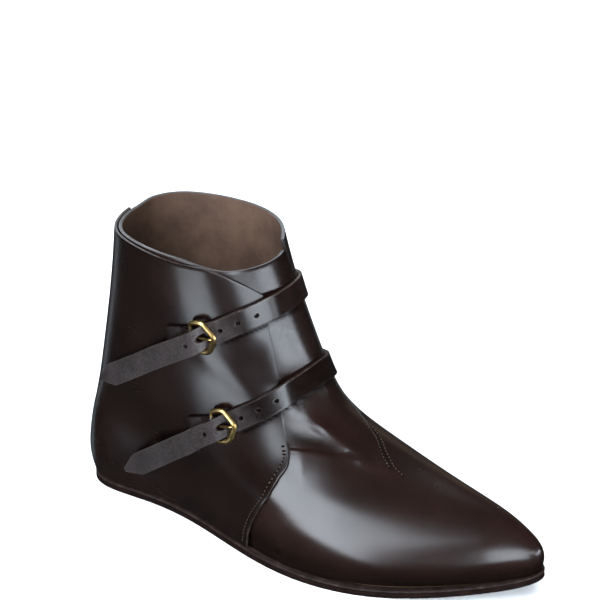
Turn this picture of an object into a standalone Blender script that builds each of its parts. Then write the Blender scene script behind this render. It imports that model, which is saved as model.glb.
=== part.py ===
"""Medieval ankle boot for the right foot, closed by two buckled straps.

+X points to the toe, +Z up, -Y to the outer side of the foot, where the buckles sit.
Every size below is in millimetres and becomes metres when a mesh is made.
"""

import math
from collections import namedtuple

import bmesh
import bpy
import numpy as np
from mathutils import Matrix, Vector

MM = 0.001

# Driving sizes of the last, measured outside the leather
LAST_LENGTH = 300.0
BALL_WIDTH = 100.0
COLLAR_HEIGHT = 175.0
TOE_SPRING = 13.0
SPRING_START = 190.0
SPRING_END = 290.0

# Leather and sole
CLEAR = 0.35
SOLE_GAP = 0.3
FEATHER_GAP = 0.45
WALL = 2.0
QUARTER_THICK = 1.8
QUARTER_SINK = 2.2
QUARTER_FOOT = 1.0
QUARTER_SEAM = 1.5
QUARTER_CLEAR = 0.65
OUTSOLE_THICK = 3.2
OUTSOLE_ROUNDING = 0.7
WELT_WIDTH = 4.2
INSOLE_THICK = 3.0
INSOLE_INSET = 6.0

# Slit between tongue and inner quarter
SLIT_WIDTH = 0.9
SLIT_END_HEIGHT = 58.1
TONGUE_TOP = 169.5

# Straps and their fittings
STRAP_WIDTH = 13.0
STRAP_THICK = 2.2
STRAP_POINT = 14.0
STRAP_TIP_SHARE = 0.16
HOLE_PITCH = 11.0
HOLE_RADIUS = 1.4
DRILL_PAST = 2.0
USED_HOLE_RADIUS = 2.2
USED_HOLE_STRETCH = 1.6
BUCKLE_SKEW = math.radians(17.0)
BUCKLE_TILT = math.radians(12.5)
BAR_RADIUS = 1.0
FRAME_RADIUS = 1.3
BAR_BACK = 6.5
BAR_HEIGHT = 2.6
BAR_CLEAR = 0.3
PRONG_EYE = 0.5
PRONG_RADIUS = 0.9
CHAPE_WIDTH = 11.5
CHAPE_THICK = 0.9
CHAPE_LENGTH = 17.0
CHAPE_SLOT = 3.6
SLOT_LENGTH = 9.0
SLOT_AHEAD = 1.2
CHAPE_LEAF_SHARES = (0.0, 0.33, 0.66)
CHAPE_WRAP_ANGLES = (-90, -50, -10, 30, 70, 105)

# One row for each level of the last, from the feather edge up to the collar.
# back and front are shares of the length, the half widths and the roundness of the nose
# shares of the ball width, and the last three columns shift the middle line inwards.
Section = namedtuple(
    "Section", "height back front heel waist ball toe nose waist_side ball_side toe_side"
)
SECTIONS = (
    Section(5, -0.004, 0.957, 0.278, 0.377, 0.463, 0.226, 0.350, -4, 0.5, 9),
    Section(12, -0.016, 0.963, 0.308, 0.388, 0.485, 0.252, 0.330, -4, -0.5, 9),
    Section(20, -0.023, 0.956, 0.320, 0.390, 0.487, 0.262, 0.300, -4, -0.5, 9),
    Section(28, -0.017, 0.928, 0.320, 0.390, 0.475, 0.245, 0.300, -3, 0, 9),
    Section(37, -0.010, 0.889, 0.320, 0.390, 0.457, 0.225, 0.300, -2, 0.5, 9),
    Section(48, -0.003, 0.794, 0.320, 0.390, 0.440, 0.220, 0.300, -1, 1, 9),
    Section(62, 0.007, 0.602, 0.315, 0.390, 0.420, 0.240, 0.330, 0, 2, 9),
    Section(80, 0.018, 0.518, 0.310, 0.390, 0.400, 0.250, 0.375, 0, 2, 6),
    Section(102, 0.030, 0.485, 0.305, 0.390, 0.380, 0.250, 0.410, 0, 1, 4),
    Section(128, 0.045, 0.450, 0.300, 0.390, 0.380, 0.250, 0.410, 0, 0, 2),
    Section(155, 0.060, 0.415, 0.300, 0.400, 0.390, 0.255, 0.420, 0, 0, 0),
    Section(184, 0.072, 0.385, 0.300, 0.400, 0.390, 0.255, 0.420, 0, 0, 0),
)
# Outline of the sole, on the floor
SOLE_SECTION = Section(0, -0.007, 0.963, 0.290, 0.390, 0.475, 0.240, 0.365, -4, 0.5, 9)
WIDTH_STATIONS = (0.12, 0.40, 0.68, 0.90)
MIDDLE_STATIONS = (0.0, 0.40, 0.68, 1.0)

# Turn angles run from the heel seam at 0 over the outer side to the toe line at 180
# and back along the inner side to 360.
EdgePoint = namedtuple("EdgePoint", "height turn")
QUARTER_FRONT = (
    EdgePoint(6, 84.3),
    EdgePoint(15, 85.6),
    EdgePoint(24.4, 87.9),
    EdgePoint(35.8, 92.8),
    EdgePoint(47.4, 102.7),
    EdgePoint(55, 113.3),
    EdgePoint(61.6, 124.4),
    EdgePoint(68, 131.7),
    EdgePoint(85, 140.6),
    EdgePoint(104, 145.8),
    EdgePoint(123, 150.2),
    EdgePoint(138, 152.9),
    EdgePoint(160, 157.5),
)
SLIT_LINE = (
    EdgePoint(6, 180),
    EdgePoint(30, 178),
    EdgePoint(48, 168),
    EdgePoint(58.1, 165.3),
    EdgePoint(62.2, 176.4),
    EdgePoint(65.8, 191),
    EdgePoint(69.2, 199),
    EdgePoint(75, 204),
    EdgePoint(90, 201.5),
    EdgePoint(108, 199),
    EdgePoint(134, 200.5),
    EdgePoint(150, 199),
    EdgePoint(180, 195),
)

# Turns over which the upper sinks behind the outer quarter and comes back up before its edge,
# and over which a strap comes down past that edge
SINK_START = (-22, -2)
SINK_END = (50, 150)
BRIDGE_START = 2
BRIDGE_END = 22

TopPoint = namedtuple("TopPoint", "turn height")
QUARTER_TOP = (
    TopPoint(0, 175),
    TopPoint(60, 174.6),
    TopPoint(95, 173.6),
    TopPoint(120, 172.6),
    TopPoint(129, 170.5),
    TopPoint(142.6, 163.5),
    TopPoint(150, 159),
    TopPoint(156.5, 154.5),
)

# Middle line of each strap, from the pointed tail round to its sewn inner end
StrapPoint = namedtuple("StrapPoint", "turn height")
STRAP_PATHS = {
    "top": (
        StrapPoint(35.8, 75.6),
        StrapPoint(48, 84),
        StrapPoint(63.3, 95.6),
        StrapPoint(84.3, 112.6),
        StrapPoint(104.2, 127),
        StrapPoint(113.5, 132.8),
        StrapPoint(124.4, 137.6),
        StrapPoint(136, 142),
        StrapPoint(148, 145),
        StrapPoint(162, 147.2),
        StrapPoint(181, 147.4),
        StrapPoint(196, 146),
        StrapPoint(214, 142),
        StrapPoint(236, 136),
        StrapPoint(258, 130),
    ),
    "bottom": (
        StrapPoint(45.5, 21.6),
        StrapPoint(56, 35.9),
        StrapPoint(66, 46.4),
        StrapPoint(78.6, 56.6),
        StrapPoint(102.4, 73.2),
        StrapPoint(111.6, 79),
        StrapPoint(120.8, 84.4),
        StrapPoint(130, 89.3),
        StrapPoint(141.5, 95),
        StrapPoint(158, 100.6),
        StrapPoint(178, 102.8),
        StrapPoint(197, 99.8),
        StrapPoint(214, 94.5),
        StrapPoint(236, 87),
        StrapPoint(258, 80),
    ),
}
PRONG_TURNS = {"top": 113.5, "bottom": 111.6}

# Height of a strap's underside above the leather, along the buckle's own axis
LiftPoint = namedtuple("LiftPoint", "along lift")
STRAP_LIFT = (
    LiftPoint(-400, 0.65),
    LiftPoint(-34, 0.65),
    LiftPoint(-24, 3.1),
    LiftPoint(-14, 3.4),
    LiftPoint(-9.5, 5.5),
    LiftPoint(-6, 5.9),
    LiftPoint(-3.5, 5.1),
    LiftPoint(2.4, 0.7),
    LiftPoint(5, 0.65),
    LiftPoint(400, 0.65),
)

# Centre line of a buckle's frame: x from the hinge bar to the point, y across
FramePoint = namedtuple("FramePoint", "along across wire")
FRAME_HALF = (
    FramePoint(0.0, 0.0, BAR_RADIUS),
    FramePoint(0.0, 7.4, BAR_RADIUS),
    FramePoint(0.6, 8.7, BAR_RADIUS),
    FramePoint(2.2, 9.1, 1.1),
    FramePoint(6.4, 9.4, FRAME_RADIUS),
    FramePoint(8.4, 9.2, FRAME_RADIUS),
    FramePoint(9.6, 8.0, FRAME_RADIUS),
    FramePoint(14.0, 1.2, FRAME_RADIUS),
)
FRAME_POINT = FramePoint(14.5, 0.0, FRAME_RADIUS)

# Rod of a prong from its eye to its tip, which rests on the frame: rise is out of the frame
RodPoint = namedtuple("RodPoint", "along rise wire")
PRONG_REST = FRAME_RADIUS + CLEAR + PRONG_RADIUS
PRONG_ROD = (
    RodPoint(3.2, -0.35, 0.7),
    RodPoint(6.6, 0.9, 0.8),
    RodPoint(13.2, PRONG_REST, PRONG_RADIUS),
    RodPoint(15.4, PRONG_REST - 0.2, 0.7),
)

# Steps of the meshes
UPPER_LEVELS = (
    0, 0.55, 1.1, 1.65, 2.2, 2.75, 3.3, 3.7, 4.05, 4.4, 4.7, 5.0, 5.25, 5.5,
    5.8, 6.05, 6.35, 6.7, 7.1, 7.7, 8.3, 9.0, 9.7, 10.4, 11,
)
SQUEEZE_LEVEL = 8.3
OUTER_COLUMNS = 34
INNER_COLUMNS = 22
QUARTER_COLUMNS = 17
SOLE_STATIONS = 36
STRAP_STEP = 7.0
STRAP_FINE_STEP = 2.5
STRAP_FINE_REACH = 28.0

COLOURS = {
    "upper leather": ((0.020, 0.011, 0.008, 1), 0.28, 0.0),
    "strap leather": ((0.028, 0.019, 0.016, 1), 0.45, 0.0),
    "sole leather": ((0.012, 0.008, 0.006, 1), 0.55, 0.0),
    "welt leather": ((0.060, 0.034, 0.022, 1), 0.55, 0.0),
    "insole leather": ((0.130, 0.075, 0.042, 1), 0.70, 0.0),
    "brass": ((0.42, 0.28, 0.10, 1), 0.30, 1.0),
}


def in_millimetres(sections):
    rows = np.array(sections, float)
    rows[:, 1:3] *= LAST_LENGTH
    rows[:, 3:8] *= BALL_WIDTH
    return rows


def control_rows():
    """The sections in millimetres, with one straight-on row added past each end."""
    rows = in_millimetres(SECTIONS)
    return np.vstack([2 * rows[0] - rows[1], rows, 2 * rows[-1] - rows[-2]])


CONTROL = control_rows()
SOLE_ROW = in_millimetres([SOLE_SECTION])[0]
TOP_LEVEL = len(SECTIONS) - 1


def section_at(level):
    """Smooth cubic blend of the four rows around a level; whole levels sit at the rows."""
    level = min(max(level, 0.0), TOP_LEVEL)
    first = min(int(level), TOP_LEVEL - 1)
    f = level - first
    weights = np.array([
        (1 - f) ** 3,
        3 * f ** 3 - 6 * f ** 2 + 4,
        -3 * f ** 3 + 3 * f ** 2 + 3 * f + 1,
        f ** 3,
    ]) / 6
    return weights @ CONTROL[first:first + 4]


def level_at(height):
    """The level whose height is the given one, found by halving."""
    low, high = 0.0, float(TOP_LEVEL)
    for _ in range(40):
        middle = (low + high) / 2
        if section_at(middle)[0] < height:
            low = middle
        else:
            high = middle
    return (low + high) / 2


def through(nodes, values, at):
    """Polynomial through a few values, used along one section."""
    total = 0.0
    for i, node in enumerate(nodes):
        term = values[i]
        for j, other in enumerate(nodes):
            if i != j:
                term = term * (at - other) / (node - other)
        total += term
    return total


def smooth_through(points, at):
    """Smooth curve through (x, y) rows that doesn't swing past them."""
    xs = [p[0] for p in points]
    ys = [p[1] for p in points]
    if at <= xs[0]:
        return ys[0]
    if at >= xs[-1]:
        return ys[-1]
    slopes = [(ys[i + 1] - ys[i]) / (xs[i + 1] - xs[i]) for i in range(len(xs) - 1)]
    turns = [slopes[0]]
    for before, after in zip(slopes, slopes[1:]):
        turns.append(2 * before * after / (before + after) if before * after > 0 else 0.0)
    turns.append(slopes[-1])
    i = max(k for k in range(len(slopes)) if xs[k] <= at)
    step = xs[i + 1] - xs[i]
    f = (at - xs[i]) / step
    return (
        ys[i] * (1 + 2 * f) * (1 - f) ** 2
        + ys[i + 1] * f ** 2 * (3 - 2 * f)
        + step * (turns[i] * f * (1 - f) ** 2 + turns[i + 1] * f ** 2 * (f - 1))
    )


def ease(low, high, at):
    f = min(max((at - low) / (high - low), 0.0), 1.0)
    return f * f * (3 - 2 * f)


def spring(x):
    """Lift of the toe at a distance along the sole."""
    return TOE_SPRING * max(0.0, (x - SPRING_START) / (SPRING_END - SPRING_START)) ** 2


def outline_point(row, turn):
    """A point of one section's outline, lifted at the toe."""
    height, back, front = row[0:3]
    angle = math.radians(turn)
    swing = -math.cos(angle)
    along = (1 + swing) / 2
    nodes = [2 * s - 1 for s in WIDTH_STATIONS]
    spreads = [w / math.sqrt(1 - n * n) for w, n in zip(row[3:7], nodes)]
    width = through([*nodes, 1.0], [*spreads, row[7]], swing)
    middle = through(MIDDLE_STATIONS, [0.0, *row[8:11]], along)
    x = back + (front - back) * along
    return Vector((x, middle - math.sin(angle) * width, height + spring(x)))


def last_point(turn, level):
    """A point of the last's outer form."""
    return outline_point(section_at(level), turn)


def directions(turn, level):
    """Change of the last's point for a degree of turn and for one level."""
    d_turn, d_level = 0.5, 0.02
    around = last_point(turn + d_turn, level) - last_point(turn - d_turn, level)
    low = max(level - d_level, 0.0)
    up = last_point(turn, level + d_level) - last_point(turn, low)
    return around / (2 * d_turn), up / (level + d_level - low)


def outward(turn, level):
    around, up = directions(turn, level)
    return around.cross(up).normalized()


def on_last(turn, level, offset):
    return last_point(turn, level) + outward(turn, level) * offset


def walk(turn, level, move):
    """The (turn, level) reached by moving over the surface by a vector."""
    steps = 4
    for _ in range(steps):
        around, up = directions(turn, level)
        a, b, c = around.dot(around), around.dot(up), up.dot(up)
        p, q = around.dot(move) / steps, up.dot(move) / steps
        share = a * c - b * b
        turn += (p * c - q * b) / share
        level += (q * a - p * b) / share
    return turn, level


def quarter_edge(height):
    return smooth_through(QUARTER_FRONT, height)


def sink(turn):
    """How far the upper lies under the last's form where the outer quarter covers it."""
    signed = turn if turn <= 180 else turn - 360
    return -QUARTER_SINK * ease(*SINK_START, signed) * (1 - ease(*SINK_END, signed))


def ground(turn, level):
    """Offset of the leather a strap lies on, bridging the quarter's front edge."""
    edge = quarter_edge(section_at(level)[0])
    under = sink(turn) + QUARTER_CLEAR + QUARTER_THICK
    cover = 1 - ease(edge + BRIDGE_START, edge + BRIDGE_END, turn)
    return max(under, 0.0) * cover


def new_object(name, bm, colour):
    mesh = bpy.data.meshes.new(name)
    for vert in bm.verts:
        vert.co *= MM
    bm.to_mesh(mesh)
    bm.free()
    return place(name, mesh, colour)


def place(name, data, colour):
    thing = bpy.data.objects.new(name, data)
    bpy.context.scene.collection.objects.link(thing)
    data.materials.append(material(colour))
    return thing


def material(name):
    found = bpy.data.materials.get(name)
    if found:
        return found
    base, roughness, metallic = COLOURS[name]
    made = bpy.data.materials.new(name)
    made.use_nodes = True
    shader = made.node_tree.nodes["Principled BSDF"]
    shader.inputs["Base Color"].default_value = base
    shader.inputs["Roughness"].default_value = roughness
    shader.inputs["Metallic"].default_value = metallic
    return made


def thicken(thing, thickness, outwards):
    solid = thing.modifiers.new("Wall", "SOLIDIFY")
    solid.thickness = thickness * MM
    solid.offset = 1.0 if outwards else -1.0
    solid.use_even_offset = True


def soften(thing, width):
    bevel = thing.modifiers.new("Edge", "BEVEL")
    bevel.width = width * MM
    bevel.segments = 1
    bevel.limit_method = "ANGLE"
    bevel.angle_limit = math.radians(60)


def cut_with(thing, tool):
    tool.hide_render = True
    tool.display_type = "WIRE"
    cut = thing.modifiers.new("Cut", "BOOLEAN")
    cut.operation = "DIFFERENCE"
    cut.object = tool


def sheet(rows):
    """Surface over rows of points, all of one length, facing out of the boot."""
    bm = bmesh.new()
    verts = [[bm.verts.new(p) for p in row] for row in rows]
    for low, high in zip(verts, verts[1:]):
        for k in range(len(low) - 1):
            bm.faces.new((low[k], low[k + 1], high[k + 1], high[k]))
    return bm


def sole_point(turn, inset, height):
    """Point of a sole layer: the sole's outline drawn in by an inset, lifted at the toe."""
    p = outline_point(SOLE_ROW, turn)
    along = outline_point(SOLE_ROW, turn + 0.5) - outline_point(SOLE_ROW, turn - 0.5)
    q = p + Vector((-along.y, along.x, 0)).normalized() * inset
    return Vector((q.x, q.y, height + spring(q.x)))


def sole_layer(inset, height):
    """Flat layer with rungs from the outer to the inner side."""
    turns = [180 * k / SOLE_STATIONS for k in range(SOLE_STATIONS + 1)]
    bm = bmesh.new()
    outer = [bm.verts.new(sole_point(t, inset, height)) for t in turns]
    inner = [bm.verts.new(sole_point(360 - t, inset, height)) for t in turns[1:-1]]
    inner = [outer[0], *inner, outer[-1]]
    for k in range(SOLE_STATIONS):
        corners = (outer[k], outer[k + 1], inner[k + 1], inner[k])
        bm.faces.new(tuple(dict.fromkeys(corners)))
    return bm


def make_outsole():
    sole = new_object("outsole", sole_layer(0.0, 0.0), "sole leather")
    thicken(sole, OUTSOLE_THICK, True)
    soften(sole, OUTSOLE_ROUNDING)


def make_welt():
    bottom = OUTSOLE_THICK + SOLE_GAP
    thickness = SECTIONS[0].height - FEATHER_GAP - bottom
    turns = [360 * k / (2 * SOLE_STATIONS) for k in range(2 * SOLE_STATIONS)]
    bm = bmesh.new()
    rim = [bm.verts.new(sole_point(t, 0.0, bottom)) for t in turns]
    seat = [bm.verts.new(sole_point(t, WELT_WIDTH, bottom)) for t in turns]
    for k in range(len(turns)):
        nxt = (k + 1) % len(turns)
        bm.faces.new((rim[k], rim[nxt], seat[nxt], seat[k]))
    welt = new_object("welt", bm, "welt leather")
    thicken(welt, thickness, True)


def make_insole():
    bottom = OUTSOLE_THICK + SOLE_GAP
    insole = new_object("insole", sole_layer(INSOLE_INSET, bottom), "insole leather")
    thicken(insole, INSOLE_THICK, True)


def row_levels():
    """Levels of the mesh rows, with one at the end of the slit."""
    return sorted((*UPPER_LEVELS, level_at(SLIT_END_HEIGHT)))


def squeezed(level, top):
    """A level of the upper, drawn down so that the highest one ends at the given top."""
    if level <= SQUEEZE_LEVEL:
        return level
    share = (level - SQUEEZE_LEVEL) / (TOP_LEVEL - SQUEEZE_LEVEL)
    return SQUEEZE_LEVEL + (top - SQUEEZE_LEVEL) * share


def collar_top(turn, slit):
    """Level of the collar: the tongue ends below the inner quarter."""
    inner = level_at(COLLAR_HEIGHT)
    if turn >= slit:
        return inner
    return inner + (level_at(TONGUE_TOP) - inner) * ease(100, 140, turn)


def upper_row(level):
    """One level from the slit's inner edge round the heel to the slit's outer edge."""
    slit = smooth_through(SLIT_LINE, section_at(level)[0])
    turns = [slit + (360 - slit) * k / INNER_COLUMNS for k in range(INNER_COLUMNS)]
    turns += [slit * k / OUTER_COLUMNS for k in range(OUTER_COLUMNS + 1)]
    points = []
    for k, turn in enumerate(turns):
        past_heel = k >= INNER_COLUMNS
        here = squeezed(level, collar_top(turn if past_heel else 360.0, slit))
        points.append(on_last(turn, here, sink(turn)))
    return points


def make_upper():
    slit_level = level_at(SLIT_END_HEIGHT)
    bm = bmesh.new()
    rows = []
    for level in row_levels():
        points = upper_row(level)
        row = [bm.verts.new(p) for p in points[:-1]]
        if level > slit_level:
            side = (points[-2] - points[-1]).normalized() * SLIT_WIDTH / 2
            away = (points[1] - points[0]).normalized() * SLIT_WIDTH / 2
            row[0].co += away
            row.append(bm.verts.new(points[-1] + side))
        else:
            row.append(row[0])
        rows.append(row)
    for low, high in zip(rows, rows[1:]):
        for k in range(len(low) - 1):
            bm.faces.new((low[k], low[k + 1], high[k + 1], high[k]))
    upper = new_object("upper", bm, "upper leather")
    thicken(upper, WALL, False)


def quarter_point(across, level):
    """Inner face of the outer quarter, from its heel seam (across 0) to its front edge (1)."""
    top = COLLAR_HEIGHT
    for _ in range(12):
        turn = QUARTER_SEAM + (quarter_edge(top) - QUARTER_SEAM) * across
        top = smooth_through(QUARTER_TOP, turn)
    here = max(squeezed(level, level_at(top)), level_at(SECTIONS[0].height + QUARTER_FOOT))
    turn = QUARTER_SEAM + (quarter_edge(section_at(here)[0]) - QUARTER_SEAM) * across
    return on_last(turn, here, sink(turn) + QUARTER_CLEAR)


def make_quarter():
    columns = [k / QUARTER_COLUMNS for k in range(QUARTER_COLUMNS + 1)]
    rows = [[quarter_point(across, level) for across in columns] for level in row_levels()]
    quarter = new_object("lateral_quarter", sheet(rows), "upper leather")
    thicken(quarter, QUARTER_THICK, True)


class Strap:
    """Middle line of a strap, measured from the prong: positive towards the toe line."""

    def __init__(self, which):
        self.samples = []
        points = STRAP_PATHS[which]
        fine = 12
        rows = [(k, p.turn, p.height) for k, p in enumerate(points)]
        turns = [(k, turn) for k, turn, _ in rows]
        heights = [(k, height) for k, _, height in rows]
        run = 0.0
        last = None
        for k in range(fine * (len(points) - 1) + 1):
            turn = smooth_through(turns, k / fine)
            level = level_at(smooth_through(heights, k / fine))
            here = last_point(turn, level)
            run += (here - last).length if last else 0.0
            last = here
            self.samples.append((run, turn, level))
        prong = PRONG_TURNS[which]
        zero = smooth_through([(turn, length) for length, turn, _ in self.samples], prong)
        self.samples = [(length - zero, turn, level) for length, turn, level in self.samples]
        self.start = self.samples[0][0]
        self.end = self.samples[-1][0]

    def at(self, length):
        turn = smooth_through([(s[0], s[1]) for s in self.samples], length)
        level = smooth_through([(s[0], s[2]) for s in self.samples], length)
        return turn, level

    def axes(self, length):
        """Place, forward, across and outward directions at a length."""
        turn, level = self.at(length)
        before = last_point(*self.at(length - 1.0))
        after = last_point(*self.at(length + 1.0))
        out = outward(turn, level)
        forward = after - before
        forward = (forward - out * forward.dot(out)).normalized()
        return turn, level, forward, out.cross(forward), out

    def point(self, length, side, extra):
        """Point of the strap's underside, a distance to the side and raised by extra."""
        turn, level, forward, across, out = self.axes(length)
        turn, level = walk(turn, level, across * side)
        along = length * math.cos(BUCKLE_SKEW) - side * math.sin(BUCKLE_SKEW)
        lift = smooth_through(STRAP_LIFT, along)
        return on_last(turn, level, ground(turn, level) + lift + extra)

    def width(self, length):
        """Full width, drawn in to a blunt point at the tail."""
        share = min((length - self.start) / STRAP_POINT, 1.0)
        return STRAP_WIDTH * (STRAP_TIP_SHARE + (1 - STRAP_TIP_SHARE) * share)

    def stations(self):
        found = [self.start]
        while found[-1] < self.end - STRAP_STEP * 0.6:
            near = abs(found[-1]) < STRAP_FINE_REACH
            step = STRAP_FINE_STEP if near else STRAP_STEP
            point_end = self.start + STRAP_POINT
            if found[-1] < point_end - 0.01:
                step = STRAP_POINT / 3
            found.append(found[-1] + step)
        found[-1] = self.end
        return found


def strap_holes(strap):
    """Closed drill shapes for the row of holes, the used one wider."""
    bm = bmesh.new()
    for k in range(-1, 4):
        length = k * HOLE_PITCH
        radius = USED_HOLE_RADIUS if k == 0 else HOLE_RADIUS
        low = strap.point(length, 0.0, -DRILL_PAST)
        high = strap.point(length, 0.0, STRAP_THICK + DRILL_PAST)
        made = bmesh.ops.create_cone(
            bm, cap_ends=True, segments=8, radius1=radius, radius2=radius,
            depth=(high - low).length,
        )
        stretch = USED_HOLE_STRETCH if k == 0 else 1.0
        forward = strap.axes(length)[2]
        out = (high - low).normalized()
        across = out.cross(forward).normalized()
        turned = Matrix((across.cross(out) * stretch, across, out)).transposed().to_4x4()
        turned.translation = (low + high) / 2
        bmesh.ops.transform(bm, matrix=turned, verts=made["verts"])
    return bm


def make_strap(which):
    strap = Strap(which)
    rows = []
    for side in (-0.5, 0.0, 0.5):
        rows.append([
            strap.point(length, side * strap.width(length), 0.0)
            for length in strap.stations()
        ])
    band = new_object("strap_" + which, sheet(rows), "strap leather")
    thicken(band, STRAP_THICK, True)
    cut_with(band, new_object("drill_" + which, strap_holes(strap), "strap leather"))
    return strap


def buckle_matrix(strap):
    """Frame of a buckle: x along its own axis, y across, z out; the origin is on the leather."""
    turn, level, forward, across, out = strap.axes(0.0)
    axis = forward * math.cos(BUCKLE_SKEW) - across * math.sin(BUCKLE_SKEW)
    side = out.cross(axis)
    turned = Matrix((axis, side, out)).transposed().to_4x4()
    turned.translation = on_last(turn, level, ground(turn, level))
    return turned


def wire(name, points, radii, matrix, closed):
    """Round wire through points, placed by a matrix."""
    curve = bpy.data.curves.new(name, "CURVE")
    curve.dimensions = "3D"
    curve.bevel_depth = MM
    curve.bevel_resolution = 1
    curve.use_fill_caps = True
    line = curve.splines.new("POLY")
    line.points.add(len(points) - 1)
    line.use_cyclic_u = closed
    for point, place_at, radius in zip(line.points, points, radii):
        point.co = (*(Vector(place_at) * MM), 1.0)
        point.radius = radius
    thing = place(name, curve, "brass")
    located = matrix.copy()
    located.translation = matrix.translation * MM
    thing.matrix_world = located
    return thing


def hinge_matrix(strap):
    """Frame at the middle of the hinge bar, tilted as the buckle lies on the strap."""
    base = buckle_matrix(strap)
    hinge = base @ Matrix.Translation((-BAR_BACK, 0, BAR_HEIGHT))
    return hinge @ Matrix.Rotation(-BUCKLE_TILT, 4, "Y")


def make_buckle(which, strap):
    upper_half = list(FRAME_HALF[1:])
    lower_half = [FramePoint(p.along, -p.across, p.wire) for p in reversed(upper_half)]
    loop = [FRAME_HALF[0], *upper_half, FRAME_POINT, *lower_half]
    points = [(p.along, p.across, 0.0) for p in loop]
    wire("buckle_" + which, points, [p.wire for p in loop], hinge_matrix(strap), True)


def make_prong(which, strap):
    """Prong: an open eye round the hinge bar, then a rod over the frame's point."""
    eye = BAR_RADIUS + BAR_CLEAR + PRONG_EYE
    line = []
    for angle in range(60, 331, 30):
        bend = math.radians(angle)
        line.append(RodPoint(eye * math.cos(bend), eye * math.sin(bend), PRONG_EYE))
    line += PRONG_ROD
    points = [(p.along, 0.0, p.rise) for p in line]
    wire("prong_" + which, points, [p.wire for p in line], hinge_matrix(strap), False)


def make_chape(which, strap):
    """Folded leather loop that holds the hinge bar, with a slot for the prong."""
    base = buckle_matrix(strap)
    wrap = BAR_RADIUS + BAR_CLEAR
    back = -BAR_BACK - CHAPE_LENGTH
    lower_leaf = CLEAR + CHAPE_THICK
    upper_leaf = lower_leaf + CLEAR
    turn, level, forward, across, out = strap.axes(0.0)
    axis = forward * math.cos(BUCKLE_SKEW) - across * math.sin(BUCKLE_SKEW)
    side = out.cross(axis)

    def on_leather(x, y, height):
        spot = walk(turn, level, axis * x + side * y)
        return on_last(*spot, ground(*spot) + height)

    rows = []
    for y in (-CHAPE_WIDTH / 2, 0.0, CHAPE_WIDTH / 2):
        leaves = [back + CHAPE_LENGTH * share for share in CHAPE_LEAF_SHARES]
        row = [on_leather(x, y, lower_leaf) for x in leaves]
        for angle in CHAPE_WRAP_ANGLES:
            bend = math.radians(angle)
            x = -BAR_BACK + wrap * math.cos(bend)
            row.append(base @ Vector((x, y, BAR_HEIGHT + wrap * math.sin(bend))))
        row += [on_leather(x, y, upper_leaf) for x in reversed(leaves)]
        rows.append(row)
    chape = new_object("chape_" + which, sheet(rows), "strap leather")
    thicken(chape, CHAPE_THICK, False)
    bm = bmesh.new()
    bmesh.ops.create_cube(bm, size=1.0)
    bmesh.ops.scale(bm, vec=(SLOT_LENGTH, CHAPE_SLOT, SLOT_LENGTH), verts=bm.verts)
    middle = Matrix.Translation((-BAR_BACK + SLOT_AHEAD, 0, BAR_HEIGHT))
    bmesh.ops.transform(bm, matrix=base @ middle, verts=bm.verts)
    cut_with(chape, new_object("slot_" + which, bm, "strap leather"))


def centre_on_floor():
    """Moves every piece so that the origin is under the middle of the leather's box."""
    graph = bpy.context.evaluated_depsgraph_get()
    corners = []
    for thing in bpy.context.scene.objects:
        if thing.type == "MESH" and not thing.hide_render:
            box = thing.evaluated_get(graph).bound_box
            corners += [thing.matrix_world @ Vector(corner) for corner in box]
    xs = [p.x for p in corners]
    ys = [p.y for p in corners]
    shift = Vector((-(min(xs) + max(xs)) / 2, -(min(ys) + max(ys)) / 2, 0))
    for thing in bpy.context.scene.objects:
        thing.location += shift


def clear_scene():
    for thing in list(bpy.data.objects):
        bpy.data.objects.remove(thing)


def main():
    clear_scene()
    make_outsole()
    make_welt()
    make_insole()
    make_upper()
    make_quarter()
    for which in ("top", "bottom"):
        strap = make_strap(which)
        make_buckle(which, strap)
        make_prong(which, strap)
        make_chape(which, strap)
    centre_on_floor()


main()
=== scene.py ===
import math

import bmesh
import bpy
import numpy as np
from mathutils import Matrix, Vector
from mathutils.kdtree import KDTree


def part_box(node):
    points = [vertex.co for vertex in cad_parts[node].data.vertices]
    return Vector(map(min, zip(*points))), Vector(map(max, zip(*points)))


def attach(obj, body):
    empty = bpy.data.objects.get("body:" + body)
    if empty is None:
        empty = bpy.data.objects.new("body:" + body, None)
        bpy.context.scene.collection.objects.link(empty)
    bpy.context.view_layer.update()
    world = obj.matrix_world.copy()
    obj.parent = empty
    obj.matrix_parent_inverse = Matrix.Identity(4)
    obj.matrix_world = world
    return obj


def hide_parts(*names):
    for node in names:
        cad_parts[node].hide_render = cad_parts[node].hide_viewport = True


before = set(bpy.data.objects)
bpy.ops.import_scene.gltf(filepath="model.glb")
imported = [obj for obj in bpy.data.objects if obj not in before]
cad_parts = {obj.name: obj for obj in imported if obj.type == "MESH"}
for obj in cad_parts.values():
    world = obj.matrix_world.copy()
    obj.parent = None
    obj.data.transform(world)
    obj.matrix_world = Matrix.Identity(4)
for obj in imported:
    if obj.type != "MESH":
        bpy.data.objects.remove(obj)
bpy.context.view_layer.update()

metre = 0.001  # tables are in millimetres, +X to the toe, -Y to the buckle side
pathSteps = 400  # fine steps along a drawn path
print("frame loaded", len(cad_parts), "nodes")


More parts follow.
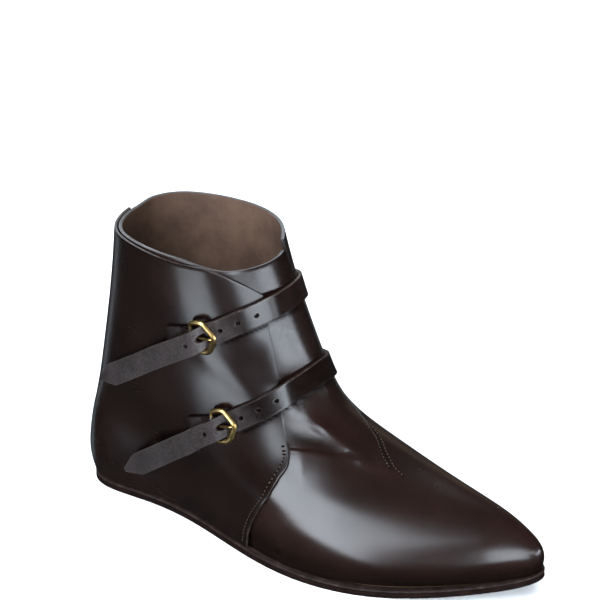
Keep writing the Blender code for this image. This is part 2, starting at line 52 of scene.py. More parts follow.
# The last: one row for each level from the feather edge to the collar.
# Columns: height, back, front (shares of the length), heel, waist, ball, toe, nose
# (shares of the ball width), waistSide, ballSide, toeSide (inward shift of the middle line).
lastShape = dict(
    length=300.0,
    ballWidth=100.0,
    toeSpring=13.0,
    springStart=190.0,
    springEnd=290.0,
    stepsPerLevel=400,
    widthStations=(0.12, 0.40, 0.68, 0.90),
    middleStations=(0.0, 0.40, 0.68, 1.0),
    sections=(
        (5, -0.004, 0.957, 0.278, 0.377, 0.463, 0.226, 0.350, -4, 0.5, 9),
        (12, -0.016, 0.963, 0.308, 0.388, 0.485, 0.252, 0.330, -4, -0.5, 9),
        (20, -0.023, 0.956, 0.320, 0.390, 0.487, 0.262, 0.300, -4, -0.5, 9),
        (28, -0.017, 0.928, 0.320, 0.390, 0.475, 0.245, 0.300, -3, 0, 9),
        (37, -0.010, 0.889, 0.320, 0.390, 0.457, 0.225, 0.300, -2, 0.5, 9),
        (48, -0.003, 0.794, 0.320, 0.390, 0.440, 0.220, 0.300, -1, 1, 9),
        (62, 0.007, 0.602, 0.315, 0.390, 0.420, 0.240, 0.330, 0, 2, 9),
        (80, 0.018, 0.518, 0.310, 0.390, 0.400, 0.250, 0.375, 0, 2, 6),
        (102, 0.030, 0.485, 0.305, 0.390, 0.380, 0.250, 0.410, 0, 1, 4),
        (128, 0.045, 0.450, 0.300, 0.390, 0.380, 0.250, 0.410, 0, 0, 2),
        (155, 0.060, 0.415, 0.300, 0.400, 0.390, 0.255, 0.420, 0, 0, 0),
        (184, 0.072, 0.385, 0.300, 0.400, 0.390, 0.255, 0.420, 0, 0, 0),
    ),
    sole=(0, -0.007, 0.963, 0.290, 0.390, 0.475, 0.240, 0.365, -4, 0.5, 9),
)


def inMillimetres(rows):
    rows = np.array(rows, float)
    rows[:, 1:3] *= lastShape["length"]
    rows[:, 3:8] *= lastShape["ballWidth"]
    return rows


sectionRows = inMillimetres(lastShape["sections"])
controlRows = np.vstack([
    2 * sectionRows[0] - sectionRows[1], sectionRows, 2 * sectionRows[-1] - sectionRows[-2],
])
soleRow = inMillimetres([lastShape["sole"]])[0]
topLevel = len(sectionRows) - 1


def sectionAt(level):
    # smooth blend of the section rows round a level
    level = np.clip(np.asarray(level, float), 0.0, topLevel)
    first = np.minimum(level.astype(int), topLevel - 1)
    f = level - first
    weights = (
        (1 - f) ** 3,
        3 * f ** 3 - 6 * f ** 2 + 4,
        -3 * f ** 3 + 3 * f ** 2 + 3 * f + 1,
        f ** 3,
    )
    return sum(w[..., None] * controlRows[first + k] for k, w in enumerate(weights)) / 6


levelSteps = np.linspace(0.0, topLevel, lastShape["stepsPerLevel"] * topLevel + 1)
heightSteps = sectionAt(levelSteps)[:, 0]


def levelAt(height):
    return np.interp(height, heightSteps, levelSteps)


def heightAt(level):
    return np.interp(level, levelSteps, heightSteps)


def throughNodes(nodes, values, at):
    # one polynomial through all values, as a bent batten runs through its pegs
    total = 0.0
    for i, spot in enumerate(nodes):
        term = values[i]
        for j, other in enumerate(nodes):
            if i != j:
                term = term * (at - other) / (spot - other)
        total = total + term
    return total


def curveThrough(points, at):
    # smooth curve through (x, y) rows that doesn't swing past them
    xs, ys = np.array(points, float).T
    at = np.clip(np.asarray(at, float), xs[0], xs[-1])
    slopes = np.diff(ys) / np.diff(xs)
    before, after = slopes[:-1], slopes[1:]
    product = before * after
    total = np.where(product > 0, before + after, 1.0)
    turns = np.concatenate([
        slopes[:1], np.where(product > 0, 2 * product / total, 0.0), slopes[-1:],
    ])
    i = np.clip(np.searchsorted(xs, at, side="right") - 1, 0, len(slopes) - 1)
    step = xs[i + 1] - xs[i]
    f = (at - xs[i]) / step
    return (
        ys[i] * (1 + 2 * f) * (1 - f) ** 2
        + ys[i + 1] * f ** 2 * (3 - 2 * f)
        + step * (turns[i] * f * (1 - f) ** 2 + turns[i + 1] * f ** 2 * (f - 1))
    )


def ease(low, high, at):
    f = np.clip((np.asarray(at, float) - low) / (high - low), 0.0, 1.0)
    return f * f * (3 - 2 * f)


def spring(x):
    run = lastShape["springEnd"] - lastShape["springStart"]
    return lastShape["toeSpring"] * np.maximum(0.0, (x - lastShape["springStart"]) / run) ** 2


def outlinePoint(row, turn):
    # turn 0 is the heel seam, 90 the outer side, 180 the toe, 270 the inner side
    row = np.asarray(row, float)
    angle = np.radians(turn)
    swing = -np.cos(angle)
    along = (1 + swing) / 2
    nodes = [2 * s - 1 for s in lastShape["widthStations"]]
    spreads = [row[..., 3 + k] / math.sqrt(1 - n * n) for k, n in enumerate(nodes)]
    width = throughNodes([*nodes, 1.0], [*spreads, row[..., 7]], swing)
    sides = [0.0, row[..., 8], row[..., 9], row[..., 10]]
    middle = throughNodes(lastShape["middleStations"], sides, along)
    x = row[..., 1] + (row[..., 2] - row[..., 1]) * along
    y = middle - np.sin(angle) * width
    return np.stack(np.broadcast_arrays(x, y, row[..., 0] + spring(x)), -1)


def lastPoint(turn, level):
    return outlinePoint(sectionAt(level), turn)


def unit(vectors):
    return vectors / np.linalg.norm(vectors, axis=-1, keepdims=True)


def dot(a, b):
    return (a * b).sum(-1, keepdims=True)


def surfaceSteps(turn, level):
    # change of the last's point for a degree of turn and for one level
    dTurn, dLevel = 0.5, 0.02
    turn, level = np.broadcast_arrays(np.asarray(turn, float), np.asarray(level, float))
    around = (lastPoint(turn + dTurn, level) - lastPoint(turn - dTurn, level)) / (2 * dTurn)
    low = np.maximum(level - dLevel, 0.0)
    high = np.minimum(level + dLevel, topLevel)
    up = (lastPoint(turn, high) - lastPoint(turn, low)) / (high - low)[..., None]
    return around, up


def outward(turn, level):
    return unit(np.cross(*surfaceSteps(turn, level)))


def onLast(turn, level, offset):
    return lastPoint(turn, level) + outward(turn, level) * np.asarray(offset)[..., None]


def walk(turn, level, move):
    # (turn, level) reached by moving over the surface by a vector
    steps = 4
    for _ in range(steps):
        around, up = surfaceSteps(turn, level)
        a, b, c = dot(around, around)[..., 0], dot(around, up)[..., 0], dot(up, up)[..., 0]
        p, q = dot(around, move)[..., 0] / steps, dot(up, move)[..., 0] / steps
        share = a * c - b * b
        turn = turn + (p * c - q * b) / share
        level = level + (q * a - p * b) / share
    return turn, level


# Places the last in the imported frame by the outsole's own corner
soleEdge = outlinePoint(soleRow, np.arange(0.0, 360.0, 5.0))
soleCorner = np.array(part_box("outsole")[0])
shift = soleCorner - soleEdge.min(0) * metre
shift[2] = 0.0
print("last placed at", np.round(shift / metre, 2))


# Lines of the cut leather, in (height, turn)
cutLines = dict(
    quarterFront=(
        (6, 84.3), (15, 85.6), (24.4, 87.9), (35.8, 92.8), (47.4, 102.7), (55, 113.3),
        (61.6, 124.4), (68, 131.7), (85, 140.6), (104, 145.8), (123, 150.2), (138, 152.9),
        (160, 157.5),
    ),
    slit=(
        (6, 180), (30, 178), (48, 168), (58.1, 165.3), (62.2, 176.4), (65.8, 191),
        (69.2, 199), (75, 204), (90, 201.5), (108, 199), (134, 200.5), (150, 199), (180, 195),
    ),
    slitSeam=(  # sewn end of the slit, (turn, height)
        (199.5, 69.6), (192.5, 65.8), (184, 64), (176.4, 62.2), (170, 60), (165.3, 58.1),
    ),
    quarterTop=(  # (turn, height)
        (0, 175), (60, 174.6), (95, 173.6), (120, 172.6), (129, 170.5), (142.6, 163.5),
        (150, 159), (156.5, 154.5),
    ),
    collar=175.0,
    tongueTop=169.5,
    slitEnd=58.1,
    slitWidth=0.9,
    sinkDepth=2.2,
    sinkStart=(-22, -2),
    sinkEnd=(50, 150),
    quarterClear=0.65,
    quarterThick=1.8,
    quarterSeam=1.5,
    quarterFoot=6.0,
    bridge=(2, 22),
    squeezeLevel=8.3,
)


def quarterEdge(height):
    return curveThrough(cutLines["quarterFront"], height)


def slitTurn(height):
    return curveThrough(cutLines["slit"], height)


def sink(turn):
    signed = np.where(turn <= 180, turn, turn - 360)
    covered = ease(*cutLines["sinkStart"], signed) * (1 - ease(*cutLines["sinkEnd"], signed))
    return -cutLines["sinkDepth"] * covered


def quarterFace(turn):
    return sink(turn) + cutLines["quarterClear"] + cutLines["quarterThick"]


def ground(turn, level):
    # leather that a strap lies on, bridging the quarter's front edge
    edge = quarterEdge(heightAt(level))
    start, end = cutLines["bridge"]
    return np.maximum(quarterFace(turn), 0.0) * (1 - ease(0, 1, (turn - edge - start) / (end - start)))


def squeezed(level, top):
    # levels near the collar drawn down so that the last one ends at the given top
    base = cutLines["squeezeLevel"]
    share = (level - base) / (topLevel - base)
    return np.where(level <= base, level, base + (top - base) * share)


def runLength(spots):
    steps = np.linalg.norm(np.diff(spots, axis=0), axis=1)
    return np.concatenate([[0.0], np.cumsum(steps)])


def pathRun(path, count):
    # turn, level and length run along a curve through (turn, height) rows
    rows = np.array(path, float)
    index = np.arange(len(rows))
    fine = np.linspace(0, len(rows) - 1, count)
    turn = curveThrough(np.stack([index, rows[:, 0]], 1), fine)
    level = levelAt(curveThrough(np.stack([index, rows[:, 1]], 1), fine))
    return turn, level, runLength(lastPoint(turn, level))


def pathSpots(path, count):
    # evenly spaced points on the last along (turn, height) rows
    turn, level, run = pathRun(path, pathSteps)
    even = np.linspace(0, run[-1], count)
    return np.interp(even, run, turn), np.interp(even, run, level), run[-1]


def nearestOn(line, spots):
    tree = KDTree(len(line))
    for i, spot in enumerate(line):
        tree.insert(spot, i)
    tree.balance()
    return np.array([tree.find(spot)[1] for spot in spots])


creaseSet = dict(
    points=300,
    reach=3.2,  # in widths of the crease
    fade=(0.3, 0.3),  # shares of the length at either end
)


def fadeEnds(share, fadeIn, fadeOut):
    # 1 along a line, eased to 0 at its ends; a fade of 0 leaves that end whole
    strength = np.ones_like(share)
    if fadeIn:
        strength = ease(0, fadeIn, share)
    if fadeOut:
        strength = strength * (1 - ease(1 - fadeOut, 1, share))
    return strength


def creaseLift(turn, level, creases):
    # sum of the listed troughs, ridges and folds, as a lift of the surface
    points = lastPoint(turn, level)
    lift = np.zeros(len(points))
    for crease in creases:
        lineTurn, lineLevel, length = pathSpots(crease["path"], creaseSet["points"])
        line = lastPoint(lineTurn, lineLevel)
        width = crease["width"]
        reach = width * creaseSet["reach"]
        near = np.all((points > line.min(0) - reach) & (points < line.max(0) + reach), axis=1)
        picked = np.flatnonzero(near)
        if not len(picked):
            continue
        tangents = unit(np.gradient(line, axis=0))
        outs = outward(lineTurn, lineLevel)
        lefts = np.cross(outs, tangents)
        spots = points[picked]
        k = nearestOn(line, spots)
        delta = spots - line[k]
        across = (delta * lefts[k]).sum(-1)
        along = (delta * tangents[k]).sum(-1)
        past = np.maximum(np.abs(along) - length / len(line), 0.0)
        behind = np.abs((delta * outs[k]).sum(-1))
        strength = fadeEnds(k / (len(line) - 1), *crease.get("fade", creaseSet["fade"]))
        if "sharp" in crease:
            body = np.tanh(across / crease["sharp"]) * np.exp(-np.abs(across) / width)
            body *= np.exp(-(past / width) ** 2)
        else:
            body = np.exp(-(across ** 2 + past ** 2) / width ** 2)
        lift[picked] += crease["lift"] * body * strength * (1 - ease(width, 2 * width, behind))
    return lift


# Mesh helpers
def gridSheet(columns, rows):
    bm = bmesh.new()
    bmesh.ops.create_grid(bm, x_segments=columns, y_segments=rows, size=0.5)
    places = np.array([v.co[:2] for v in bm.verts]) + 0.5
    return bm, places[:, 0], places[:, 1]


def moveVerts(bm, points):
    for vert, point in zip(bm.verts, points):
        vert.co = point


def paint(bm, key, values):
    layer = bm.verts.layers.float.new(key)
    for vert, value in zip(bm.verts, values):
        vert[layer] = value


def weld(bm, distance=0.002):
    bmesh.ops.remove_doubles(bm, verts=bm.verts[:], dist=distance)


def toObject(name, bm):
    mesh = bpy.data.meshes.new(name)
    bm.to_mesh(mesh)
    bm.free()
    return linked(name, mesh)


def linked(name, data):
    made = bpy.data.objects.new(name, data)
    bpy.context.scene.collection.objects.link(made)
    return made


def toPiece(name, bm, materials, node=None, smoothAngle=50):
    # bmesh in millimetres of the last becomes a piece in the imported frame
    intoFrame = Matrix.Translation(shift) @ Matrix.Scale(metre, 4)
    bmesh.ops.transform(bm, matrix=intoFrame, verts=bm.verts[:])
    return dressPiece(toObject(name, bm), materials, node, smoothAngle)


def dressPiece(piece, materials, node, smoothAngle):
    mesh = piece.data
    for material in materials:
        mesh.materials.append(material)
    mesh.shade_smooth()
    mesh.set_sharp_from_angle(angle=math.radians(smoothAngle))
    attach(piece, "root")
    if node:
        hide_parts(node)
    return piece


def addWall(piece, thickness, offset, liningSlot=0, rimSlot=0, scale=metre):
    wall = piece.modifiers.new("Wall", "SOLIDIFY")
    wall.thickness = thickness * scale
    wall.offset = offset
    wall.material_offset = liningSlot
    wall.material_offset_rim = rimSlot


def roundEdges(piece, width, segments=2, scale=metre):
    soft = piece.modifiers.new("Edges", "BEVEL")
    soft.width = width * scale
    soft.segments = segments
    soft.limit_method = "ANGLE"
    soft.angle_limit = math.radians(50)


# Material helpers
def newFinish(name):
    material = bpy.data.materials.new(name)
    material.use_nodes = True
    tree = material.node_tree
    return material, tree, tree.nodes["Principled BSDF"]


def addNode(tree, kind, inputs=None, **settings):
    made = tree.nodes.new(kind)
    for key, value in settings.items():
        setattr(made, key, value)
    for key, value in (inputs or {}).items():
        if isinstance(value, bpy.types.NodeSocket):
            tree.links.new(value, made.inputs[key])
        else:
            made.inputs[key].default_value = value
    return made


def objectPlace(tree, scale=(1, 1, 1)):
    place = addNode(tree, "ShaderNodeTexCoord")
    mapping = addNode(tree, "ShaderNodeMapping", {"Vector": place.outputs["Object"], "Scale": scale})
    return mapping.outputs["Vector"]


def noise(tree, vector, scale, detail=3.0, roughness=0.5):
    made = addNode(tree, "ShaderNodeTexNoise", {
        "Vector": vector, "Scale": scale, "Detail": detail, "Roughness": roughness,
    })
    return made.outputs["Fac"]


def ramp(tree, fac, stops):
    made = addNode(tree, "ShaderNodeValToRGB", {"Fac": fac})
    colours = made.color_ramp
    colours.elements[0].position, colours.elements[0].color = stops[0][0], (*stops[0][1], 1)
    colours.elements[1].position, colours.elements[1].color = stops[-1][0], (*stops[-1][1], 1)
    for position, colour in stops[1:-1]:
        added = colours.elements.new(position)
        added.color = (*colour, 1)
    return made.outputs["Color"]


def spread(tree, value, low, high, fromLow=0.3, fromHigh=0.7):
    made = addNode(tree, "ShaderNodeMapRange", {
        "Value": value, "From Min": fromLow, "From Max": fromHigh, "To Min": low, "To Max": high,
    })
    return made.outputs["Result"]


def mathNode(tree, operation, a, b):
    return addNode(tree, "ShaderNodeMath", {0: a, 1: b}, operation=operation).outputs[0]


def mixColour(tree, fac, a, b):
    made = addNode(tree, "ShaderNodeMix", {0: fac, 6: a, 7: b}, data_type="RGBA")
    return made.outputs[2]


def bump(tree, height, strength, distance, normal=None):
    inputs = {"Height": height, "Strength": strength, "Distance": distance}
    if normal:
        inputs["Normal"] = normal
    return addNode(tree, "ShaderNodeBump", inputs).outputs["Normal"]


def painted(tree, key):
    return addNode(tree, "ShaderNodeAttribute", attribute_name=key).outputs["Fac"]


# What all leathers share: noise scales, ramp stops, bump depths in metres
leatherGrain = dict(
    mottleNoise=(5.0, 0.6),
    mottleStops=(0.32, 0.52, 0.72),
    tailNoise=(4, 0.65),
    tailShares=(0.7, 0.3),  # of the grain and of the mottle
    tailStops=(0.38, 0.64),
    rimScale=420,
    rimWear=(0.25, 1.0),
    streakNoise=(4.0, 0.6),
    patchScale=55,
    waveScale=180,
    waveNoise=(4, 0.6),
    poreSmoothness=0.6,
    poreDepth=0.0002,
    streakDepth=0.0003,
    waveDepth=0.0006,
    tailDepth=0.0004,
)


def leatherFinish(name, look):
    # smooth dyed leather: mottled colour, fine pores, brushed polish streaks
    material, tree, shader = newFinish(name)
    grains = leatherGrain
    place = objectPlace(tree)
    mottle = noise(tree, place, look["mottleScale"], *grains["mottleNoise"])
    colour = ramp(tree, mottle, tuple(zip(grains["mottleStops"], look["tones"])))
    # painted shade: where the shade attribute is painted, the colour goes to the shade tone and the gloss
    # is taken out
    if "shade" in look:
        shade = painted(tree, "shade")
        colour = mixColour(tree, shade, colour, (*look["shade"], 1))
        tree.links.new(mixColour(tree, shade, (1, 1, 1, 1), (0, 0, 0, 1)), shader.inputs["Specular Tint"])
    # the strap's tail: rubbed wear plus a painted sheen, a lighter bluish grey that stands in for its broad
    # reflection
    tail = look.get("tail")
    if tail:
        rubbedWithSheen = painted(tree, "tail")
        grain = noise(tree, place, tail["grainScale"], *grains["tailNoise"])
        grainShare, mottleShare = grains["tailShares"]
        worn = mathNode(tree, "ADD", mathNode(tree, "MULTIPLY", grain, grainShare),
                        mathNode(tree, "MULTIPLY", mottle, mottleShare))
        greyedWithSheen = ramp(tree, worn, tuple(zip(grains["tailStops"], tail["tones"])))
        colour = mixColour(tree, rubbedWithSheen, colour, greyedWithSheen)
    if "edgeTone" in look:
        wear = spread(tree, noise(tree, place, grains["rimScale"]), *grains["rimWear"])
        worn = mathNode(tree, "MULTIPLY", painted(tree, "rim"), wear)
        colour = mixColour(tree, worn, colour, (*look["edgeTone"], 1))
    tree.links.new(colour, shader.inputs["Base Color"])
    streaks = noise(tree, objectPlace(tree, look["streakScale"]), 1.0, *grains["streakNoise"])
    patch = noise(tree, place, grains["patchScale"], 4)
    roughness = mathNode(tree, "ADD", spread(tree, patch, *look["roughness"]),
                         spread(tree, streaks, -look["streakRough"], look["streakRough"]))
    if tail:
        extra = mathNode(tree, "MULTIPLY", rubbedWithSheen, tail["roughness"] - sum(look["roughness"]) / 2)
        roughness = mathNode(tree, "ADD", roughness, extra)
    tree.links.new(roughness, shader.inputs["Roughness"])
    pores = addNode(tree, "ShaderNodeTexVoronoi", {
        "Vector": place, "Scale": look["poreScale"], "Smoothness": grains["poreSmoothness"],
    }, feature="SMOOTH_F1").outputs["Distance"]
    waves = noise(tree, place, grains["waveScale"], *grains["waveNoise"])
    normal = bump(tree, pores, look["pores"], grains["poreDepth"])
    normal = bump(tree, streaks, look["streaks"], grains["streakDepth"], normal)
    normal = bump(tree, waves, look["waves"], grains["waveDepth"], normal)
    if tail:
        strength = mathNode(tree, "MULTIPLY", rubbedWithSheen, tail["grain"])
        normal = bump(tree, grain, strength, grains["tailDepth"], normal)
    tree.links.new(normal, shader.inputs["Normal"])
    shader.inputs["Specular IOR Level"].default_value = look["specular"]
    if "coat" in look:
        weight, roughness = look["coat"]
        shader.inputs["Coat Weight"].default_value = weight
        shader.inputs["Coat Roughness"].default_value = roughness
    return material


# tones run from the mottle's dark spots to its warm ones
leatherLooks = dict(
    upper=dict(
        tones=((0.0050, 0.0022, 0.0017), (0.0076, 0.0033, 0.0025), (0.0112, 0.0049, 0.0036)),
        mottleScale=24, roughness=(0.235, 0.275), streakRough=0.007, streakScale=(90, 90, 1500),
        poreScale=2300, pores=0.09, streaks=0.006, waves=0.05,
        # shade: tone of the painted shade
        specular=0.42, shade=(0.0015, 0.0008, 0.0006),
    ),
    strap=dict(
        tones=((0.0050, 0.0024, 0.0019), (0.0080, 0.0038, 0.0030), (0.0115, 0.0056, 0.0044)),
        mottleScale=60, roughness=(0.22, 0.27), streakRough=0.01, streakScale=(500, 500, 1400),
        poreScale=1700, pores=0.10, streaks=0.010, waves=0.08,
        specular=0.42, coat=(0.05, 0.16),
        edgeTone=(0.070, 0.054, 0.049),
        tail=dict(tones=((0.0145, 0.0104, 0.0104), (0.068, 0.0545, 0.056)), roughness=0.44,
                  grainScale=850, grain=0.9),
    ),
    lining=dict(
        tones=((0.050, 0.029, 0.020), (0.075, 0.044, 0.030), (0.10, 0.060, 0.040)),
        mottleScale=45, roughness=(0.70, 0.85), streakRough=0.05, streakScale=(400, 400, 900),
        poreScale=900, pores=0.35, streaks=0.15, waves=0.25,
        specular=0.20,
    ),
    cutEdge=dict(
        tones=((0.007, 0.004, 0.003), (0.018, 0.0105, 0.0078), (0.050, 0.030, 0.022)),
        mottleScale=260, roughness=(0.50, 0.65), streakRough=0.05, streakScale=(900, 900, 900),
        poreScale=1800, pores=0.3, streaks=0.2, waves=0.2,
        specular=0.35,
    ),
    darkEdge=dict(
        tones=((0.004, 0.0022, 0.0016), (0.0085, 0.0047, 0.0036), (0.020, 0.012, 0.009)),
        mottleScale=260, roughness=(0.45, 0.6), streakRough=0.05, streakScale=(900, 900, 900),
        poreScale=1800, pores=0.2, streaks=0.1, waves=0.2,
        specular=0.30,
    ),
    sole=dict(
        tones=((0.0034, 0.0017, 0.0014), (0.0056, 0.0028, 0.0023), (0.0090, 0.0046, 0.0037)),
        mottleScale=120, roughness=(0.75, 0.85), streakRough=0.06, streakScale=(60, 60, 2600),
        poreScale=1500, pores=0.2, streaks=0.3, waves=0.15,
        specular=0.03,
    ),
    chape=dict(
        tones=((0.0026, 0.0012, 0.0010), (0.0040, 0.0018, 0.0014), (0.0060, 0.0027, 0.0021)),
        mottleScale=60, roughness=(0.30, 0.36), streakRough=0.01, streakScale=(500, 500, 1400),
        poreScale=1700, pores=0.10, streaks=0.010, waves=0.08,
        specular=0.35,
    ),
    welt=dict(
        tones=((0.0070, 0.0040, 0.0034), (0.0140, 0.0082, 0.0072), (0.036, 0.0225, 0.0195)),
        mottleScale=200, roughness=(0.55, 0.7), streakRough=0.05, streakScale=(500, 500, 500),
        poreScale=1500, pores=0.2, streaks=0.15, waves=0.15,
        specular=0.12,
    ),
    insole=dict(
        tones=((0.10, 0.056, 0.031), (0.135, 0.078, 0.043), (0.18, 0.105, 0.060)),
        mottleScale=38, roughness=(0.6, 0.75), streakRough=0.05, streakScale=(200, 500, 500),
        poreScale=1100, pores=0.25, streaks=0.12, waves=0.2,
        specular=0.3,
    ),
)
finishes = {key: leatherFinish(key + "Leather", look) for key, look in leatherLooks.items()}


brassLook = dict(
    tones=((0.30, (0.24, 0.155, 0.055)), (0.55, (0.40, 0.28, 0.115)), (0.75, (0.52, 0.39, 0.18))),
    toneScale=320,
    roughness=(0.28, 0.40),
    roughScale=500,
    dentScale=900,
    dents=0.08,
    dentDepth=0.0002,
)


def brassFinish(look):
    material, tree, shader = newFinish("antiqueBrass")
    place = objectPlace(tree)
    tone = ramp(tree, noise(tree, place, look["toneScale"], 4), look["tones"])
    rough = spread(tree, noise(tree, place, look["roughScale"]), *look["roughness"])
    dents = bump(tree, noise(tree, place, look["dentScale"]), look["dents"], look["dentDepth"])
    for socket, value in (("Base Color", tone), ("Roughness", rough), ("Normal", dents)):
        tree.links.new(value, shader.inputs[socket])
    shader.inputs["Metallic"].default_value = 1.0
    return material


# dark tone, light tone, roughness, specular
threadLooks = dict(
    darkThread=((0.006, 0.004, 0.0035), (0.020, 0.012, 0.009), 0.6, 0.3),
    brownThread=((0.045, 0.026, 0.017), (0.11, 0.068, 0.046), 0.6, 0.3),
    seamThread=((0.030, 0.019, 0.014), (0.085, 0.056, 0.043), 0.6, 0.3),
    # awl holes: near black and without gloss, the painted shade inside the holes
    awlHole=((0.0008, 0.0006, 0.0005), (0.002, 0.0014, 0.0012), 1.0, 0.0),
)
threadTwist = dict(toneScale=700, toneStops=(0.35, 0.65), scale=2600, strength=0.4, depth=0.0002)


def threadFinish(name, dark, light, roughness, specular):
    material, tree, shader = newFinish(name)
    place = objectPlace(tree)
    twist = threadTwist
    tone = ramp(tree, noise(tree, place, twist["toneScale"]), tuple(zip(twist["toneStops"], (dark, light))))
    tree.links.new(tone, shader.inputs["Base Color"])
    strands = bump(tree, noise(tree, place, twist["scale"], 2), twist["strength"], twist["depth"])
    tree.links.new(strands, shader.inputs["Normal"])
    shader.inputs["Roughness"].default_value = roughness
    shader.inputs["Specular IOR Level"].default_value = specular
    return material


finishes["brass"] = brassFinish(brassLook)
for name, look in threadLooks.items():
    finishes[name] = threadFinish(name, *look)
print("finishes made", len(finishes))


# Straps: middle lines from the pointed tail round to the sewn inner end, in (turn, height)
strapPlan = dict(
    paths=dict(
        top=(
            (35.8, 75.6), (48, 84), (63.3, 95.6), (84.3, 112.6), (104.2, 127), (113.5, 132.8),
            (124.4, 137.6), (136, 142), (148, 145), (162, 147.2), (181, 147.4), (196, 146),
            (214, 142), (236, 136), (258, 130),
        ),
        bottom=(
            (45.5, 21.6), (56, 35.9), (66, 46.4), (78.6, 56.6), (102.4, 73.2), (111.6, 79),
            (120.8, 84.4), (130, 89.3), (141.5, 95), (158, 100.6), (178, 102.8), (197, 99.8),
            (214, 94.5), (236, 87), (258, 80),
        ),
    ),
    prongTurns=dict(top=113.5, bottom=111.6),
    lift=(  # height of the underside above the leather, along the buckle's axis
        (-400, 0.65), (-58, 0.65), (-36, 2.1), (-24, 3.4), (-10, 5.3), (-6, 5.9), (-3.5, 5.1),
        (2.4, 0.7), (5, 0.65), (400, 0.65),
    ),
    width=13.0,
    thick=2.2,
    point=14.0,
    tipShare=0.16,
    holePitch=dict(top=9.9, bottom=10.6),
    holes=(-1, 0, 1, 2, 3),
    holeRadius=1.4,
    usedRadius=2.2,
    usedStretch=1.6,
    holeSides=24,
    holeRim=0.3,
    skew=math.radians(17.0),
    pathSteps=60,
    meshStep=1.0,
    acrossSteps=13,
    smoothAngle=35,
    edgeRounding=0.35,
    rimReach=0.8,
    lowEdge=(-0.3, 0.2),  # share of the width, strength of the light rim below it: the edge wear is weakened there as painted shade on the lower edge
    tailEnds=(4.0, 24.0),  # the tail, lighter and greyer from rubbed wear and a painted sheen, ends between these
    straightTail=dict(bottom=-22.0),  # behind this the stiff tail spans the hollow under the ankle
    straightBlend=14.0,
    shadeLine=(-2.1, 1.25),  # middle of the painted shadow line below the lower edge, half width
    shadeReach=(0.7, 1.0),  # in strap widths from the middle line
    shadeStart=3.0,
    shadeStep=0.5,
    shadeFade=(12, 2),  # steps in which it comes and goes, steps left bare at the sewn end
    # bends across the strap where it was pulled through: place, depth, half width
    wrinkles=((6.6, -0.35, 0.9), (9.4, 0.22, 1.0), (11.8, -0.30, 0.9), (15.2, -0.20, 0.9)),
)


def strapRun(which):
    # the strap's middle line; its length counts from the prong's hole, the tail is negative
    path = strapPlan["paths"][which]
    turn, level, run = pathRun(path, strapPlan["pathSteps"] * (len(path) - 1) + 1)
    run -= np.interp(strapPlan["prongTurns"][which], turn, run)
    pitch = strapPlan["holePitch"][which]
    return dict(length=run, turn=turn, level=level, start=run[0], end=run[-1], pitch=pitch)


def strapAxes(run, length):
    turn = np.interp(length, run["length"], run["turn"])
    level = np.interp(length, run["length"], run["level"])
    ends = [
        lastPoint(np.interp(length + step, run["length"], run["turn"]),
                  np.interp(length + step, run["length"], run["level"]))
        for step in (-1.0, 1.0)
    ]
    out = outward(turn, level)
    forward = ends[1] - ends[0]
    forward = unit(forward - out * dot(forward, out))
    return turn, level, forward, np.cross(out, forward), out


strapRuns = {which: strapRun(which) for which in strapPlan["paths"]}


def strapShade(turn, level):
    # painted shade: 1 in the narrow dark line of a painted contact shadow under each strap's lower edge
    points = lastPoint(turn, level)
    shade = np.zeros(len(points))
    for run in strapRuns.values():
        length = np.arange(strapPlan["shadeStart"], run["end"], strapPlan["shadeStep"])
        axes = strapAxes(run, length)
        line = lastPoint(axes[0], axes[1])
        k = nearestOn(line, points)
        delta = points - line[k]
        across = (delta * axes[3][k]).sum(-1)
        near, far = strapPlan["shadeReach"]
        width = strapPlan["width"]
        beside = 1 - ease(width * near, width * far, np.linalg.norm(delta, axis=1))
        middle, half = strapPlan["shadeLine"]
        here = np.exp(-((across + width / 2 - middle) / half) ** 2)
        fade, bare = strapPlan["shadeFade"]
        ends = ease(0, fade, k) * (1 - ease(len(line) - fade, len(line) - bare, k))
        shade = np.maximum(shade, here * beside * ends)
    return shade


